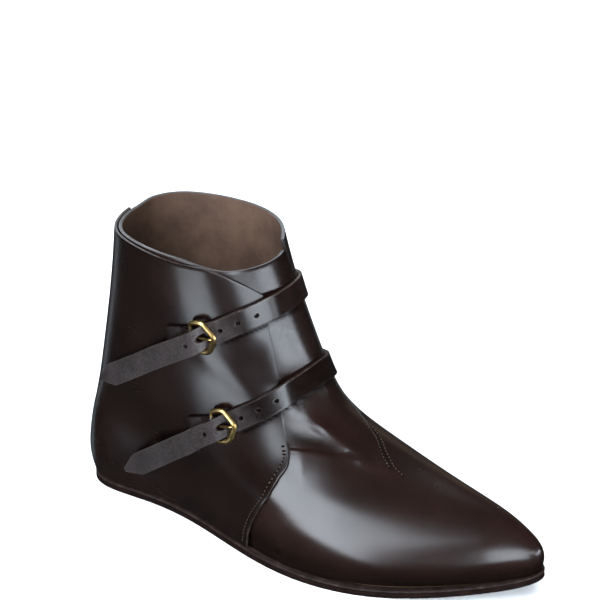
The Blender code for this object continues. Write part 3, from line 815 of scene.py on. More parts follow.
# Upper: vamp, tongue and inner quarter in one wall
upperPlan = dict(
    innerColumns=90,
    hiddenColumns=20,
    throatColumns=170,
    throatTurn=75.0,
    rowShares=(0.0, 0.156, 0.719, 1.0),
    rowHeights=(28.0, 75.0),
    rows=160,
    wall=2.0,
    edgeRounding=0.35,
    tongueTurns=(100, 140),  # the top edge drops from the collar to the tongue between these
    slitOpening=17.0,
    slitLip=0.7,
    slitLipReach=3.5,
    # half width of the painted shade along the slit's sewn seam
    slitSeamHalf=0.9,
    # painted shade in the hollow between the quarter's edge and the instep's ridge: its line, half width
    # and strength
    hollowLine=((138, 77.5), (139.2, 74), (141.5, 71), (145, 68.8), (149, 66.6)),
    hollowHalf=3.4,
    hollowShade=0.62,
    # painted shade, darker towards the sole: its strength, then where it lies along the upper
    footShade=0.65,
    footLine=(  # turn, height of full shade, height where it ends
        (0, 8, 20), (84, 10, 33), (130, 10, 32), (150, 9, 22), (165, 8, 17), (200, 8, 16), (360, 8, 20),
    ),
    creases=(
        # fold where the tongue bends over the vamp, crisp by the quarter and soft by the slit
        dict(path=((129, 68.6), (138.4, 67.1), (144.6, 65), (154.4, 62.8), (163, 59.6)),
             width=4.5, sharp=0.8, lift=-0.65, fade=(0.0, 0.2)),
        # the vamp swells up to the fold
        dict(path=((124, 62), (132, 63.5), (141, 62), (150, 60)), width=10.0, lift=0.9, fade=(0.25, 0.4)),
        # swelling above the fold, running down to the slit's end
        dict(path=((140, 89), (146, 87), (151.5, 84), (154.5, 79), (156.5, 74), (157.5, 68), (160.5, 63.5)),
             width=8.0, lift=1.0, fade=(0.25, 0.2)),
        dict(path=((150, 84), (153.5, 80), (156, 75), (156.5, 71), (157, 67.5), (158, 65), (160.5, 62.8),
                   (163, 61)), width=4.2, lift=2.0, fade=(0.3, 0.15)),
        # the tongue is drawn in under the lower strap
        dict(path=((144, 93.5), (155, 96), (163, 97), (172, 97), (182, 96)), width=9.0, lift=-1.6),
        # soft lip under the fold's far end
        dict(path=((149, 61.8), (155, 60.2), (160.5, 58.4), (164, 56.6)), width=3.2, lift=0.7),
        # small bends of the tongue under the straps
        dict(path=((176, 88), (186, 85), (197, 81)), width=1.6, lift=-0.4),
        dict(path=((180, 84), (190, 80.5), (199, 77)), width=1.6, lift=-0.35),
        dict(path=((147, 106), (152, 103), (158, 101)), width=1.8, lift=-0.4),
        # the slit's closed end is drawn in by its stitches
        dict(path=cutLines["slitSeam"], width=1.3, lift=-0.5, fade=(0.2, 0.15)),
        # the vamp's side tucks in over the sole, under a fuller shoulder
        dict(path=((70, 7), (100, 7), (130, 7), (150, 7), (166, 8), (178, 9)), width=9.0, lift=-1.3,
             fade=(0.2, 0.1)),
        dict(path=((84, 29), (100, 29), (125, 29), (145, 28), (160, 27), (172, 26)), width=10.0, lift=0.9,
             fade=(0.2, 0.15)),
    ),
)


def upperRows(v):
    # level of each row, closer together over the vamp
    low, high = (float(levelAt(h)) for h in upperPlan["rowHeights"])
    return np.interp(v, upperPlan["rowShares"], (0.0, low, high, float(topLevel)))


def slitOpening(level):
    end = cutLines["slitEnd"]
    return ease(end, end + upperPlan["slitOpening"], heightAt(level))


def upperFace(turn, level, innerSide):
    # height of the upper's face over the last, with the raised lip beside the slit
    slit = slitTurn(heightAt(level))
    away = np.linalg.norm(lastPoint(turn, level) - lastPoint(slit, level), axis=-1)
    lip = upperPlan["slitLip"] * np.exp(-(away / upperPlan["slitLipReach"]) ** 2)
    return sink(turn) + lip * slitOpening(level) * innerSide + creaseLift(turn, level, upperPlan["creases"])


def lineShade(spots, path, half):
    # 1 along a line on the last, fading to its sides
    turns, levels, _ = pathSpots(path, 80)
    line = lastPoint(turns, levels)
    gap = np.linalg.norm(spots - line[nearestOn(line, spots)], axis=1)
    return np.exp(-(gap / half) ** 2)


def makeUpper():
    plan = upperPlan
    inner, hidden, throat = plan["innerColumns"], plan["hiddenColumns"], plan["throatColumns"]
    columns = inner + hidden + throat
    bm, u, v = gridSheet(columns, plan["rows"])
    column = np.rint(u * columns)
    level = upperRows(v)
    slit = slitTurn(heightAt(level))
    innerSide = column < inner
    turn = np.where(innerSide, slit + (360 - slit) * column / inner, 0.0)
    beyond = column - inner
    turn = np.where(~innerSide & (beyond <= hidden), plan["throatTurn"] * beyond / hidden, turn)
    reach = np.clip((beyond - hidden) / throat, 0, 1)
    turn = np.where(beyond > hidden, plan["throatTurn"] + (slit - plan["throatTurn"]) * reach, turn)
    collar = float(levelAt(cutLines["collar"]))
    tongue = float(levelAt(cutLines["tongueTop"]))
    top = np.where(innerSide, collar, collar + (tongue - collar) * ease(*plan["tongueTurns"], turn))
    level = squeezed(level, top)
    opening = slitOpening(level)
    points = onLast(turn, level, upperFace(turn, level, innerSide))
    order = np.argsort(column + 1000 * np.rint(v * plan["rows"]), kind="stable")
    table = points[order].reshape(plan["rows"] + 1, columns + 1, 3)
    gap = (cutLines["slitWidth"] / 2 * opening)[order].reshape(plan["rows"] + 1, columns + 1)
    table[:, 0] += unit(table[:, 1] - table[:, 0]) * gap[:, :1]
    table[:, -1] += unit(table[:, -2] - table[:, -1]) * gap[:, -1:]
    points[order] = table.reshape(-1, 3)
    moveVerts(bm, points)
    spots = lastPoint(turn, level)
    # painted shade: a dark line along the slit's sewn seam
    slitShade = lineShade(spots, cutLines["slitSeam"], plan["slitSeamHalf"])
    # painted shade in the hollow beside the instep's ridge
    hollowShade = plan["hollowShade"] * lineShade(spots, plan["hollowLine"], plan["hollowHalf"])
    # painted shade: the upper darker towards the sole
    footTurns, full, end = np.array(plan["footLine"], float).T
    low, high = np.interp(turn, footTurns, full), np.interp(turn, footTurns, end)
    footShade = plan["footShade"] * (1 - ease(0, 1, (heightAt(level) - low) / (high - low)))
    # painted shade: the straps' contact shadows on the upper
    shades = (strapShade(turn, level), slitShade, hollowShade, footShade)
    paint(bm, "shade", np.max(shades, axis=0))
    weld(bm)
    skins = [finishes["upper"], finishes["lining"], finishes["darkEdge"]]
    upper = toPiece("upperLeather", bm, skins, "upper")
    addWall(upper, plan["wall"], -1.0, liningSlot=1, rimSlot=2)
    roundEdges(upper, plan["edgeRounding"])


makeUpper()
print("upper made")


# Outer quarter, laid over the upper
quarterPlan = dict(
    columns=190,
    rows=170,
    weldGap=0.0005,
    edgeRounding=0.4,
    creases=(
        # soft diagonal ridge between the straps
        dict(path=((106, 131), (111.6, 122.8), (122.8, 108.7), (134.4, 94.8), (139, 89)),
             width=9.0, lift=1.2, fade=(0.2, 0.15)),
        # front edge stands off the tongue between the straps
        dict(path=tuple((float(quarterEdge(h)) + 4, h) for h in (135, 128, 121, 114, 107, 101)),
             width=11.0, lift=1.5, fade=(0.3, 0.3)),
    ),
)


def quarterPlace(across, level):
    # (turn, level) from the heel seam (across 0) to the front edge (1)
    seam = cutLines["quarterSeam"]
    top = np.full_like(across, cutLines["collar"])
    for _ in range(12):
        top = curveThrough(cutLines["quarterTop"], seam + (quarterEdge(top) - seam) * across)
    foot = float(levelAt(cutLines["quarterFoot"]))
    here = np.maximum(squeezed(level, levelAt(top)), foot)
    return seam + (quarterEdge(heightAt(here)) - seam) * across, here


def makeQuarter():
    plan = quarterPlan
    bm, u, v = gridSheet(plan["columns"], plan["rows"])
    turn, level = quarterPlace(u, upperRows(v))
    lift = creaseLift(turn, level, plan["creases"])
    moveVerts(bm, onLast(turn, level, quarterFace(turn) - cutLines["quarterThick"] + lift))
    # painted shade: the straps' contact shadows on the quarter
    paint(bm, "shade", strapShade(turn, level))
    weld(bm, plan["weldGap"])
    skins = [finishes["upper"], finishes["lining"], finishes["cutEdge"]]
    quarter = toPiece("outerQuarter", bm, skins, "lateral_quarter")
    addWall(quarter, cutLines["quarterThick"], 1.0, liningSlot=1, rimSlot=2)
    roundEdges(quarter, plan["edgeRounding"])


makeQuarter()
print("outer quarter made")


# Stitches: rows of awl holes, drawn as near-black beads of painted shade, with thread between them, on the
# leather's face
stitchSet = dict(
    hole=(0.58, 0.60, 0.17),  # half sizes along the row, across it, out of the leather
    thread=(0.28, 0.24),  # half sizes across the row, out of the leather
    threadGap=0.15,
    threadLeast=0.4,
    beadTurns=(8, 4),
    wideHole=1.9,  # the first holes of a row, as many as its wide says, are drawn out to the side
    rowSteps=200,
    rows=dict(
        quarterFront=dict(
            on="quarter", thread="seamThread", pitch=2.6, inset=-3.0, wide=3,
            path=tuple((float(quarterEdge(h)), h) for h in (
                69.5, 66, 62, 56, 50, 44, 38, 32, 26, 20, 14, 8.5,
            )),
        ),
        heelSeam=dict(
            on="quarter", thread="darkThread", pitch=3.2, inset=0.0, wide=0,
            path=((5.0, 168), (5.0, 140), (5.0, 110), (5.0, 80), (5.0, 50), (5.0, 24), (5.0, 12)),
        ),
        slitTongue=dict(
            on="tongue", thread="brownThread", pitch=2.3, inset=-1.5, wide=0,
            path=cutLines["slitSeam"],
        ),
        slitInner=dict(
            on="inner", thread="brownThread", pitch=2.3, inset=1.6, wide=0,
            path=(*cutLines["slitSeam"], (162, 55.4)),
        ),
        chapeTop=dict(
            on="chape", thread="brownThread", pitch=2.6, inset=0.0, wide=0,
            path=((101.6, 136.0), (104.6, 134.0)),
        ),
        chapeBottom=dict(
            on="chape", thread="brownThread", pitch=2.6, inset=0.0, wide=0,
            path=((101.6, 80.1), (105.4, 80.1)),
        ),
    ),
    chapeFace=2.5,
)


def stitchFace(on, turn, level):
    if on == "quarter":
        return quarterFace(turn) + creaseLift(turn, level, quarterPlan["creases"])
    if on == "chape":
        return ground(turn, level) + stitchSet["chapeFace"]
    return upperFace(turn, level, on == "inner")


def rowPlaces(row):
    # (turn, level) of the holes, moved to the left of the path by the inset
    fineTurn, fineLevel, length = pathSpots(row["path"], stitchSet["rowSteps"])
    count = int(length / row["pitch"]) + 1
    pick = np.rint(np.linspace(0, stitchSet["rowSteps"] - 1, count)).astype(int)
    out = outward(fineTurn, fineLevel)
    tangent = unit(np.gradient(lastPoint(fineTurn, fineLevel), axis=0))
    left = np.cross(out, tangent)[pick]
    return walk(fineTurn[pick], fineLevel[pick], left * row["inset"])


def addBead(bm, centre, axes, halves, slot):
    place = Matrix(axes).transposed().to_4x4()
    place.translation = centre
    u, v = stitchSet["beadTurns"]
    made = bmesh.ops.create_uvsphere(bm, u_segments=u, v_segments=v, radius=1.0,
                                     matrix=place @ Matrix.Diagonal((*halves, 1)))
    for vert in made["verts"]:
        for face in vert.link_faces:
            face.material_index = slot


def makeStitches(name, row):
    turn, level = rowPlaces(row)
    face = stitchFace(row["on"], turn, level)
    out = outward(turn, level)
    spots = onLast(turn, level, face)
    along = unit(np.gradient(spots, axis=0))
    side = unit(np.cross(out, along))
    along = np.cross(side, out)
    bm = bmesh.new()
    long, wide, deep = stitchSet["hole"]
    for k, spot in enumerate(spots):
        halves = (long, wide * (stitchSet["wideHole"] if k < row["wide"] else 1), deep)
        addBead(bm, spot, (along[k], side[k], out[k]), halves, 0)
    reach = max(row["pitch"] / 2 - long - stitchSet["threadGap"], stitchSet["threadLeast"])
    for k in range(len(spots) - 1):
        middle = (spots[k] + spots[k + 1]) / 2
        addBead(bm, middle, (along[k], side[k], out[k]), (reach, *stitchSet["thread"]), 1)
    toPiece("stitch_" + name, bm, [finishes["awlHole"], finishes[row["thread"]]], None, 60)


for name, row in stitchSet["rows"].items():
    makeStitches(name, row)
print("stitches made", len(stitchSet["rows"]))


# Sole, welt and insole
soleSet = dict(
    stations=160,
    acrossSteps=24,
    outsoleThick=3.2,
    outsoleRounding=0.7,
    gap=0.3,
    weltWidth=4.2,
    weltThick=1.05,
    weltSteps=3,
    weltRounding=0.3,
    insoleInset=6.0,
    insoleThick=3.0,
    insoleRounding=0.5,
    smoothAngle=40,
)


def solePoint(turn, inset, height):
    p = outlinePoint(soleRow, turn)
    along = outlinePoint(soleRow, turn + 0.5) - outlinePoint(soleRow, turn - 0.5)
    inward = unit(np.stack([-along[..., 1], along[..., 0]], -1)) * np.asarray(inset)[..., None]
    x, y = p[..., 0] + inward[..., 0], p[..., 1] + inward[..., 1]
    return np.stack([x, y, height + spring(x)], -1)


def soleLayer(name, inset, height, thickness, rounding, finish, node):
    bm, u, v = gridSheet(soleSet["stations"], soleSet["acrossSteps"])
    turn = 180 * u
    outer = solePoint(turn, inset, height)
    inner = solePoint(360 - turn, inset, height)
    moveVerts(bm, outer + (inner - outer) * v[:, None])
    weld(bm)
    bmesh.ops.recalc_face_normals(bm, faces=bm.faces[:])
    if sum(f.normal.z for f in bm.faces) < 0:
        bmesh.ops.reverse_faces(bm, faces=bm.faces[:])
    piece = toPiece(name, bm, [finish], node, soleSet["smoothAngle"])
    addWall(piece, thickness, 1.0)
    roundEdges(piece, rounding, 3)


def makeSole():
    s = soleSet
    bottom = s["outsoleThick"] + s["gap"]
    soleLayer("outsoleLeather", 0.0, 0.0, s["outsoleThick"], s["outsoleRounding"],
              finishes["sole"], "outsole")
    soleLayer("insoleLeather", s["insoleInset"], bottom, s["insoleThick"], s["insoleRounding"],
              finishes["insole"], "insole")
    bm, u, v = gridSheet(2 * s["stations"], s["weltSteps"])
    moveVerts(bm, solePoint(360 * u, s["weltWidth"] * v, bottom))
    weld(bm)
    welt = toPiece("weltLeather", bm, [finishes["welt"]], "welt", s["smoothAngle"])
    addWall(welt, s["weltThick"], 1.0)
    roundEdges(welt, s["weltRounding"])


makeSole()
print("sole made")


def strapPoint(run, length, side, extra):
    turn, level, forward, across, out = strapAxes(run, length)
    turn, level = walk(turn, level, across * side[..., None])
    along = length * math.cos(strapPlan["skew"]) - side * math.sin(strapPlan["skew"])
    lift = curveThrough(strapPlan["lift"], along)
    return onLast(turn, level, ground(turn, level) + lift + extra)


def strapWidth(run, length):
    share = np.clip((length - run["start"]) / strapPlan["point"], 0, 1)
    return strapPlan["width"] * (strapPlan["tipShare"] + (1 - strapPlan["tipShare"]) * share)


def holeSize(k):
    # radius, and stretch along the strap: the prong has drawn its own hole long
    if k == 0:
        return strapPlan["usedRadius"], strapPlan["usedStretch"]
    return strapPlan["holeRadius"], 1.0


def flatStrap(run):
    # the strap cut flat, with its holes, as (length, side, height) in millimetres
    plan = strapPlan
    total = run["end"] - run["start"]
    bm, u, v = gridSheet(int(total / plan["meshStep"]), plan["acrossSteps"])
    length = run["start"] + total * u
    moveVerts(bm, np.stack([length, (v - 0.5) * strapWidth(run, length), 0 * u], 1))
    flat = toObject("flatStrap", bm)
    addWall(flat, plan["thick"], 1.0, scale=1.0)
    drill = bmesh.new()
    for k in plan["holes"]:
        radius, stretch = holeSize(k)
        made = bmesh.ops.create_cone(drill, cap_ends=True, segments=plan["holeSides"], radius1=radius,
                                     radius2=radius, depth=4 * plan["thick"])
        place = Matrix.Translation((k * run["pitch"], 0, 0)) @ Matrix.Diagonal((stretch, 1, 1, 1))
        bmesh.ops.transform(drill, matrix=place, verts=made["verts"])
    tool = toObject("strapDrill", drill)
    cut = flat.modifiers.new("Holes", "BOOLEAN")
    cut.object = tool
    roundEdges(flat, plan["edgeRounding"], scale=1.0)
    graph = bpy.context.evaluated_depsgraph_get()
    mesh = bpy.data.meshes.new_from_object(flat.evaluated_get(graph))
    for scrap in (flat, tool):
        bpy.data.objects.remove(scrap)
    return mesh


def makeStrap(which, run):
    plan = strapPlan
    mesh = flatStrap(run)
    mesh.name = "strapBand_" + which
    flat = np.empty(len(mesh.vertices) * 3)
    mesh.vertices.foreach_get("co", flat)
    length, side, height = flat.reshape(-1, 3).T
    border = np.minimum(strapWidth(run, length) / 2 - np.abs(side), length - run["start"])
    for k in plan["holes"]:
        radius, stretch = holeSize(k)
        fromHole = np.hypot((length - k * run["pitch"]) / stretch, side) - radius
        border = np.minimum(border, fromHole + plan["holeRim"])
    lowEdge, lowRimInShade = plan["lowEdge"]
    rim = np.clip(1 - border / plan["rimReach"], 0, 1)
    # the edges' lighter wear is weakened along the lower edge as painted shade
    rim *= np.where(side < lowEdge * plan["width"], lowRimInShade, 1.0)
    bends = sum(depth * np.exp(-((length - place) / half) ** 2) for place, depth, half in plan["wrinkles"])
    bends *= 0.5 + side / plan["width"]
    # rubbed wear and painted sheen on the tail, fading out past the buckle
    tail = 1 - ease(*plan["tailEnds"], length)
    points = strapPoint(run, length, side, height + bends)
    if which in plan["straightTail"]:
        behind = plan["straightTail"][which] - length
        whole = plan["straightTail"][which] - run["start"]
        near = strapPoint(run, length + behind, side, height)
        tip = strapPoint(run, length + behind - whole, side, height)
        straight = near + (tip - near) * (behind / whole)[:, None]
        points += (straight - points) * ease(0, plan["straightBlend"], behind)[:, None]
    points = points * metre + shift
    mesh.vertices.foreach_set("co", points.ravel())
    for key, values in (("rim", rim), ("tail", tail)):
        mesh.attributes.new(key, "FLOAT", "POINT").data.foreach_set("value", values.astype(np.float32))
    mesh.update()
    piece = linked("strapBand_" + which, mesh)
    dressPiece(piece, [finishes["strap"]], "strap_" + which, plan["smoothAngle"])


# Buckles, their prongs and the folded loops that hold them
buckleSet = dict(
    tilt=math.radians(12.5),
    barBack=6.5,
    barHeight=2.6,
    barRadius=1.0,
    barClear=0.3,
    frameHalf=(  # along, across, wire
        (0.0, 0.0, 1.0), (0.0, 7.4, 1.0), (0.6, 8.6, 1.1), (2.2, 9.0, 1.35), (6.0, 9.2, 1.6),
        (8.2, 8.9, 1.7), (9.6, 7.8, 1.7), (13.7, 1.4, 1.7), (14.4, 0.0, 1.7),
    ),
    section=(  # across the wire, out of the frame: a gable with a soft ridge
        (-1.02, -0.40), (-1.06, 0.10), (-0.76, 0.58), (-0.24, 0.93), (0.24, 0.93), (0.76, 0.58),
        (1.06, 0.10), (1.02, -0.40), (0.62, -0.80), (-0.62, -0.80),
    ),
    wireStep=0.45,
    wireRounds=9,  # of smoothing
    wireLevels=2,
    prongEye=0.5,
    prongEyeTurns=range(60, 331, 15),
    prongRod=((3.2, -0.35, 0.7), (6.6, 0.9, 0.8), (12.6, 2.50, 0.9), (14.3, 2.45, 0.65)),
    prongStep=0.4,
    prongRounds=2,
    prongSides=12,
    prongCaps=(0.0, 0.6, 0.9),  # shares of the wire that round off each end
    smoothAngle=60,
    chapeWidth=11.5,
    chapeThick=0.9,
    chapeLength=17.0,
    chapeSlot=3.6,
    chapeClear=0.35,
    chapeRounding=0.2,
    leafShares=(0.0, 0.2, 0.4, 0.6, 0.75),
    foldTurns=range(-90, 106, 15),
)


def buckleFrame(run):
    zero = np.zeros(1)
    turn, level, forward, across, out = (part[0] for part in strapAxes(run, zero))
    skew = strapPlan["skew"]
    axis = forward * math.cos(skew) - across * math.sin(skew)
    origin = onLast(turn, level, ground(turn, level))
    return turn, level, axis, np.cross(out, axis), out, origin


def hingeMatrix(run):
    turn, level, axis, side, out, origin = buckleFrame(run)
    base = Matrix((axis, side, out)).transposed().to_4x4()
    base.translation = origin
    hinge = base @ Matrix.Translation((-buckleSet["barBack"], 0, buckleSet["barHeight"]))
    return hinge @ Matrix.Rotation(-buckleSet["tilt"], 4, "Y")


def sweep(points, sides, ups, radii, section, closed):
    # wire with a drawn section, swept along points; open ends are drawn to a pole
    count, corners = len(points), len(section)
    bm, u, v = gridSheet(count if closed else count - 1, corners)
    i = np.rint(u * (count if closed else count - 1)).astype(int) % count
    j = np.rint(v * corners).astype(int) % corners
    shape = np.array(section, float)[j]
    moveVerts(bm, points[i] + radii[i][:, None] * (sides[i] * shape[:, :1] + ups[i] * shape[:, 1:]))
    weld(bm, 0.001)
    bmesh.ops.recalc_face_normals(bm, faces=bm.faces[:])
    return bm


def evenPath(rows, step, closed):
    # rows of (x, y, wire) as straight runs, resampled evenly
    rows = np.array(rows, float)
    if closed:
        rows = np.vstack([rows, rows[:1]])
    run = runLength(rows[:, :2])
    count = max(int(round(run[-1] / step)), 8)
    even = np.linspace(0, run[-1], count + 1)
    if closed:
        even = even[:-1]
    return np.stack([np.interp(even, run, rows[:, k]) for k in range(rows.shape[1])], 1)


def softened(rows, rounds, closed):
    for _ in range(rounds):
        before = np.roll(rows, 1, axis=0)
        after = np.roll(rows, -1, axis=0)
        smooth = 0.5 * rows + 0.25 * (before + after)
        if not closed:
            smooth[0], smooth[-1] = rows[0], rows[-1]
        rows = smooth
    return rows


def makeBuckle(which, run):
    half = buckleSet["frameHalf"]
    loop = [*half, *[(p[0], -p[1], p[2]) for p in reversed(half[1:-1])]]
    rows = softened(evenPath(loop, buckleSet["wireStep"], True), buckleSet["wireRounds"], True)
    tangent = unit(np.roll(rows, -1, axis=0)[:, :2] - np.roll(rows, 1, axis=0)[:, :2])
    zero = np.zeros(len(rows))
    points = np.stack([rows[:, 0], rows[:, 1], zero], 1)
    sides = np.stack([tangent[:, 1], -tangent[:, 0], zero], 1)
    ups = np.tile([0.0, 0.0, 1.0], (len(rows), 1))
    bm = sweep(points, sides, ups, rows[:, 2], buckleSet["section"], True)
    bmesh.ops.transform(bm, matrix=hingeMatrix(run), verts=bm.verts[:])
    piece = toPiece("buckleFrame_" + which, bm, [finishes["brass"]], "buckle_" + which,
                    buckleSet["smoothAngle"])
    smooth = piece.modifiers.new("Smooth", "SUBSURF")
    smooth.levels = smooth.render_levels = buckleSet["wireLevels"]


def makeProng(which, run):
    s = buckleSet
    eye = s["barRadius"] + s["barClear"] + s["prongEye"]
    line = []
    for angle in s["prongEyeTurns"]:
        bend = math.radians(angle)
        line.append((eye * math.cos(bend), eye * math.sin(bend), s["prongEye"]))
    line += s["prongRod"]
    rows = softened(evenPath(line, s["prongStep"], False), s["prongRounds"], False)
    tangent = unit(np.gradient(rows[:, :2], axis=0))
    zero = np.zeros(len(rows))
    points = np.stack([rows[:, 0], zero, rows[:, 1]], 1)
    sides = np.tile([0.0, 1.0, 0.0], (len(rows), 1))
    ups = np.stack([-tangent[:, 1], zero, tangent[:, 0]], 1)
    caps = np.array(s["prongCaps"])
    pick = np.r_[[0] * len(caps), 1:len(rows) - 1, [len(rows) - 1] * len(caps)]
    points, sides, ups = points[pick], sides[pick], ups[pick]
    radii = np.concatenate([caps * rows[0, 2], rows[1:-1, 2], caps[::-1] * rows[-1, 2]])
    angles = 2 * np.pi * np.arange(s["prongSides"]) / s["prongSides"]
    bm = sweep(points, sides, ups, radii, np.stack([np.cos(angles), np.sin(angles)], 1), False)
    bmesh.ops.transform(bm, matrix=hingeMatrix(run), verts=bm.verts[:])
    toPiece("prongPin_" + which, bm, [finishes["brass"]], "prong_" + which, s["smoothAngle"])


def makeChape(which, run):
    s = buckleSet
    turn, level, axis, side, out, origin = buckleFrame(run)
    wrap = s["barRadius"] + s["barClear"]
    lower = s["chapeClear"] + s["chapeThick"]
    upper = lower + s["chapeClear"]
    leaves = -s["barBack"] - s["chapeLength"] + s["chapeLength"] * np.array(s["leafShares"])
    slotShare = s["chapeSlot"] / s["chapeWidth"]
    acrossLines = np.array((-1, -0.75, -0.5, -slotShare, slotShare, 0.5, 0.75, 1)) * s["chapeWidth"] / 2

    def onLeather(x, y, height):
        spot = walk(turn, level, axis * x + side * y)
        return onLast(*spot, ground(*spot) + height)

    strip = []
    for y in acrossLines:
        row = [onLeather(x, y, lower) for x in leaves]
        for angle in s["foldTurns"]:
            bend = math.radians(angle)
            x = -s["barBack"] + wrap * math.cos(bend)
            row.append(origin + axis * x + side * y + out * (s["barHeight"] + wrap * math.sin(bend)))
        row += [onLeather(x, y, upper) for x in reversed(leaves)]
        strip.append(row)
    strip = np.array(strip)
    bm, u, v = gridSheet(strip.shape[1] - 1, len(acrossLines) - 1)
    i = np.rint(u * (strip.shape[1] - 1)).astype(int)
    j = np.rint(v * (len(acrossLines) - 1)).astype(int)
    moveVerts(bm, strip[j, i])
    bm.verts.ensure_lookup_table()
    bm.faces.ensure_lookup_table()
    slotStart, slotEnd = len(leaves) - 1, strip.shape[1] - len(leaves)
    slot = []
    for face in bm.faces:
        spots = [vert.index for vert in face.verts]
        if all(j[k] in (3, 4) for k in spots) and all(slotStart <= i[k] <= slotEnd for k in spots):
            slot.append(face)
    bmesh.ops.delete(bm, geom=slot, context="FACES")
    chape = toPiece("chapeLoop_" + which, bm, [finishes["chape"]], "chape_" + which, 50)
    addWall(chape, s["chapeThick"], -1.0)
    roundEdges(chape, s["chapeRounding"])


for which in ("top", "bottom"):
    run = strapRuns[which]
    makeStrap(which, run)
    makeBuckle(which, run)
    makeProng(which, run)
    makeChape(which, run)
    print("strap", which, "made", round(run["start"], 1), round(run["end"], 1))


# Stage: pale floor, soft lights and the camera
stageSet = dict(
    floorSize=4.0,
    floorTone=(0.88, 0.88, 0.88),
    backdropSize=7.0,
    backdropRounds=4,
    backdropTone=(0.86, 0.87, 0.88),
    floorRoughness=0.9,
    floorSpecular=0.1,
    worldTone=(0.86, 0.92, 1.0),
    worldStrength=0.035,
    aim=(0.0, 0.0, 0.075),
    lightTone=(0.82, 0.91, 1.0),
    # azimuth from the buckle side towards the toe, elevation, distance, width, height, lean, watts
    lights=dict(
        leftBox=(-9, 31, 1.3, 0.88, 1.75, 0, 62.0),
        quarterLow=(-6, -25, 1.3, 0.84, 0.34, -20, 7.0),
        quarterBand=(27, 26, 1.3, 0.28, 1.0, -14, 9.0),
        rightBox=(68, 9, 1.3, 0.84, 1.10, 0, 26.0),
        vampSide=(55, 16, 1.3, 0.40, 0.85, 0, 12.0),
        tongueBox=(103, 4.2, 0.8, 0.49, 0.06, 0, 2.5),
        tongueNear=(76, 10.3, 0.35, 0.17, 0.065, 0, 0.05),
        ridgeNear=(37, 15, 0.3, 0.063, 0.09, 0, 0.008),
        topStrapBox=(100, 0, 1.3, 0.40, 0.9, 0, 5.0),
        lowStrapBox=(57, 0, 1.3, 0.34, 0.9, 0, 11.0),
        rimLeft=(-100, -18, 1.4, 0.24, 0.8, 0, 0.4),
        rimBack=(-165, 3, 1.4, 1.2, 0.5, 0, 0.4),
        innerBox=(-136, 33, 1.4, 0.9, 0.9, 0, 20.0),
        overheadFill=(20, 80, 2.6, 3.4, 3.4, 0, 95.0),
    ),
    hiddenInGloss=("overheadFill",),
    tones=dict(overheadFill=(1.0, 0.98, 0.95), rimBack=(1.0, 0.72, 0.50)),
    spread=dict(tongueNear=35, ridgeNear=30),
    # pieces that a light is kept from, or the only ones that it falls on
    keptFrom=dict(
        leftBox=("outerQuarter", "strapBand_top", "strapBand_bottom"),
        rightBox=("strapBand_bottom", "upperLeather"),
        tongueBox=("strapBand_top", "strapBand_bottom"),
    ),
    onlyOn=dict(
        quarterLow=("outerQuarter", "chapeLoop_top", "chapeLoop_bottom"),
        quarterBand=("outerQuarter",),
        rimLeft=("outerQuarter",),
        vampSide=("upperLeather",),
        tongueNear=("upperLeather",),
        ridgeNear=("upperLeather",),
        topStrapBox=("strapBand_top",),
        lowStrapBox=("strapBand_bottom",),
    ),
    camera=dict(
        place=(0.591148, -0.943557, 0.761670), azimuth=32.302, elevation=28.797, roll=-0.087,
        focalPixels=2301.8, framePixels=600, sensor=36.0, clipStart=0.05,
    ),
)


def stagePiece(name, bm, tone):
    piece = toObject(name, bm)
    material, tree, shader = newFinish("pale_" + name)
    shader.inputs["Base Color"].default_value = (*tone, 1)
    shader.inputs["Roughness"].default_value = stageSet["floorRoughness"]
    shader.inputs["Specular IOR Level"].default_value = stageSet["floorSpecular"]
    piece.data.materials.append(material)
    piece.visible_glossy = False
    piece.visible_shadow = False
    return piece, shader


def makeFloor():
    bm = bmesh.new()
    bmesh.ops.create_grid(bm, x_segments=2, y_segments=2, size=stageSet["floorSize"] / 2)
    stagePiece("floor", bm, stageSet["floorTone"])
    bm = bmesh.new()
    bmesh.ops.create_icosphere(bm, subdivisions=stageSet["backdropRounds"], radius=stageSet["backdropSize"])
    bmesh.ops.reverse_faces(bm, faces=bm.faces[:])
    backdrop, shader = stagePiece("backdrop", bm, (0, 0, 0))
    backdrop.visible_diffuse = False
    shader.inputs["Emission Color"].default_value = (*stageSet["backdropTone"], 1)
    shader.inputs["Emission Strength"].default_value = 1.0


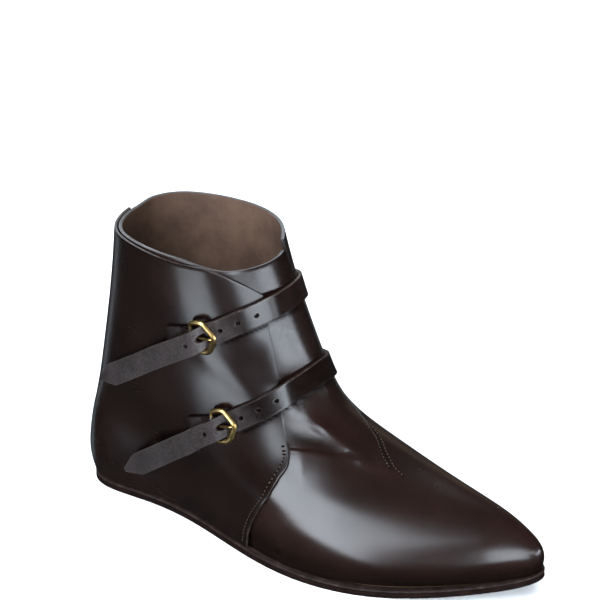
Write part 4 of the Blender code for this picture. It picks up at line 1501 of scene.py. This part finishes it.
def makeLights():
    world = bpy.data.worlds.new("studio")
    world.use_nodes = True
    background = world.node_tree.nodes["Background"]
    background.inputs["Color"].default_value = (*stageSet["worldTone"], 1)
    background.inputs["Strength"].default_value = stageSet["worldStrength"]
    bpy.context.scene.world = world
    aim = Vector(stageSet["aim"])
    for name, row in stageSet["lights"].items():
        azimuth, elevation, distance, width, height, lean, watts = row
        light = bpy.data.lights.new(name, "AREA")
        light.shape = "RECTANGLE"
        light.size = width
        light.size_y = height
        light.energy = watts
        light.color = stageSet["tones"].get(name, stageSet["lightTone"])
        light.spread = math.radians(stageSet["spread"].get(name, 180))
        lamp = linked(name, light)
        lamp.visible_camera = False
        lamp.visible_glossy = name not in stageSet["hiddenInGloss"]
        a, e = math.radians(azimuth), math.radians(elevation)
        direction = Vector((math.sin(a) * math.cos(e), -math.cos(a) * math.cos(e), math.sin(e)))
        lamp.location = aim + direction * distance
        facing = direction.to_track_quat("Z", "Y").to_matrix().to_4x4()
        facing = facing @ Matrix.Rotation(math.radians(-lean), 4, "Z")
        lamp.rotation_euler = facing.to_euler()
        for rule, state in (("keptFrom", "EXCLUDE"), ("onlyOn", "INCLUDE")):
            if name in stageSet[rule]:
                group = bpy.data.collections.new(name + "Pieces")
                for pieceName in stageSet[rule][name]:
                    group.objects.link(bpy.data.objects[pieceName])
                for entry in group.collection_objects:
                    entry.light_linking.link_state = state
                lamp.light_linking.receiver_collection = group


def makeCamera():
    view = stageSet["camera"]
    data = bpy.data.cameras.new("camera")
    data.sensor_width = view["sensor"]
    data.lens = view["sensor"] * view["focalPixels"] / view["framePixels"]
    data.clip_start = view["clipStart"]
    camera = linked("camera", data)
    camera.location = view["place"]
    camera.rotation_mode = "XYZ"
    turnIn = Matrix.Rotation(math.radians(view["azimuth"]), 4, "Z")
    pitch = Matrix.Rotation(math.radians(90 - view["elevation"]), 4, "X")
    roll = Matrix.Rotation(math.radians(-view["roll"]), 4, "Z")
    camera.rotation_euler = (turnIn @ pitch @ roll).to_euler()
    bpy.context.scene.camera = camera


makeFloor()
makeLights()
makeCamera()
bpy.context.scene.view_settings.view_transform = "Standard"
print("stage made")
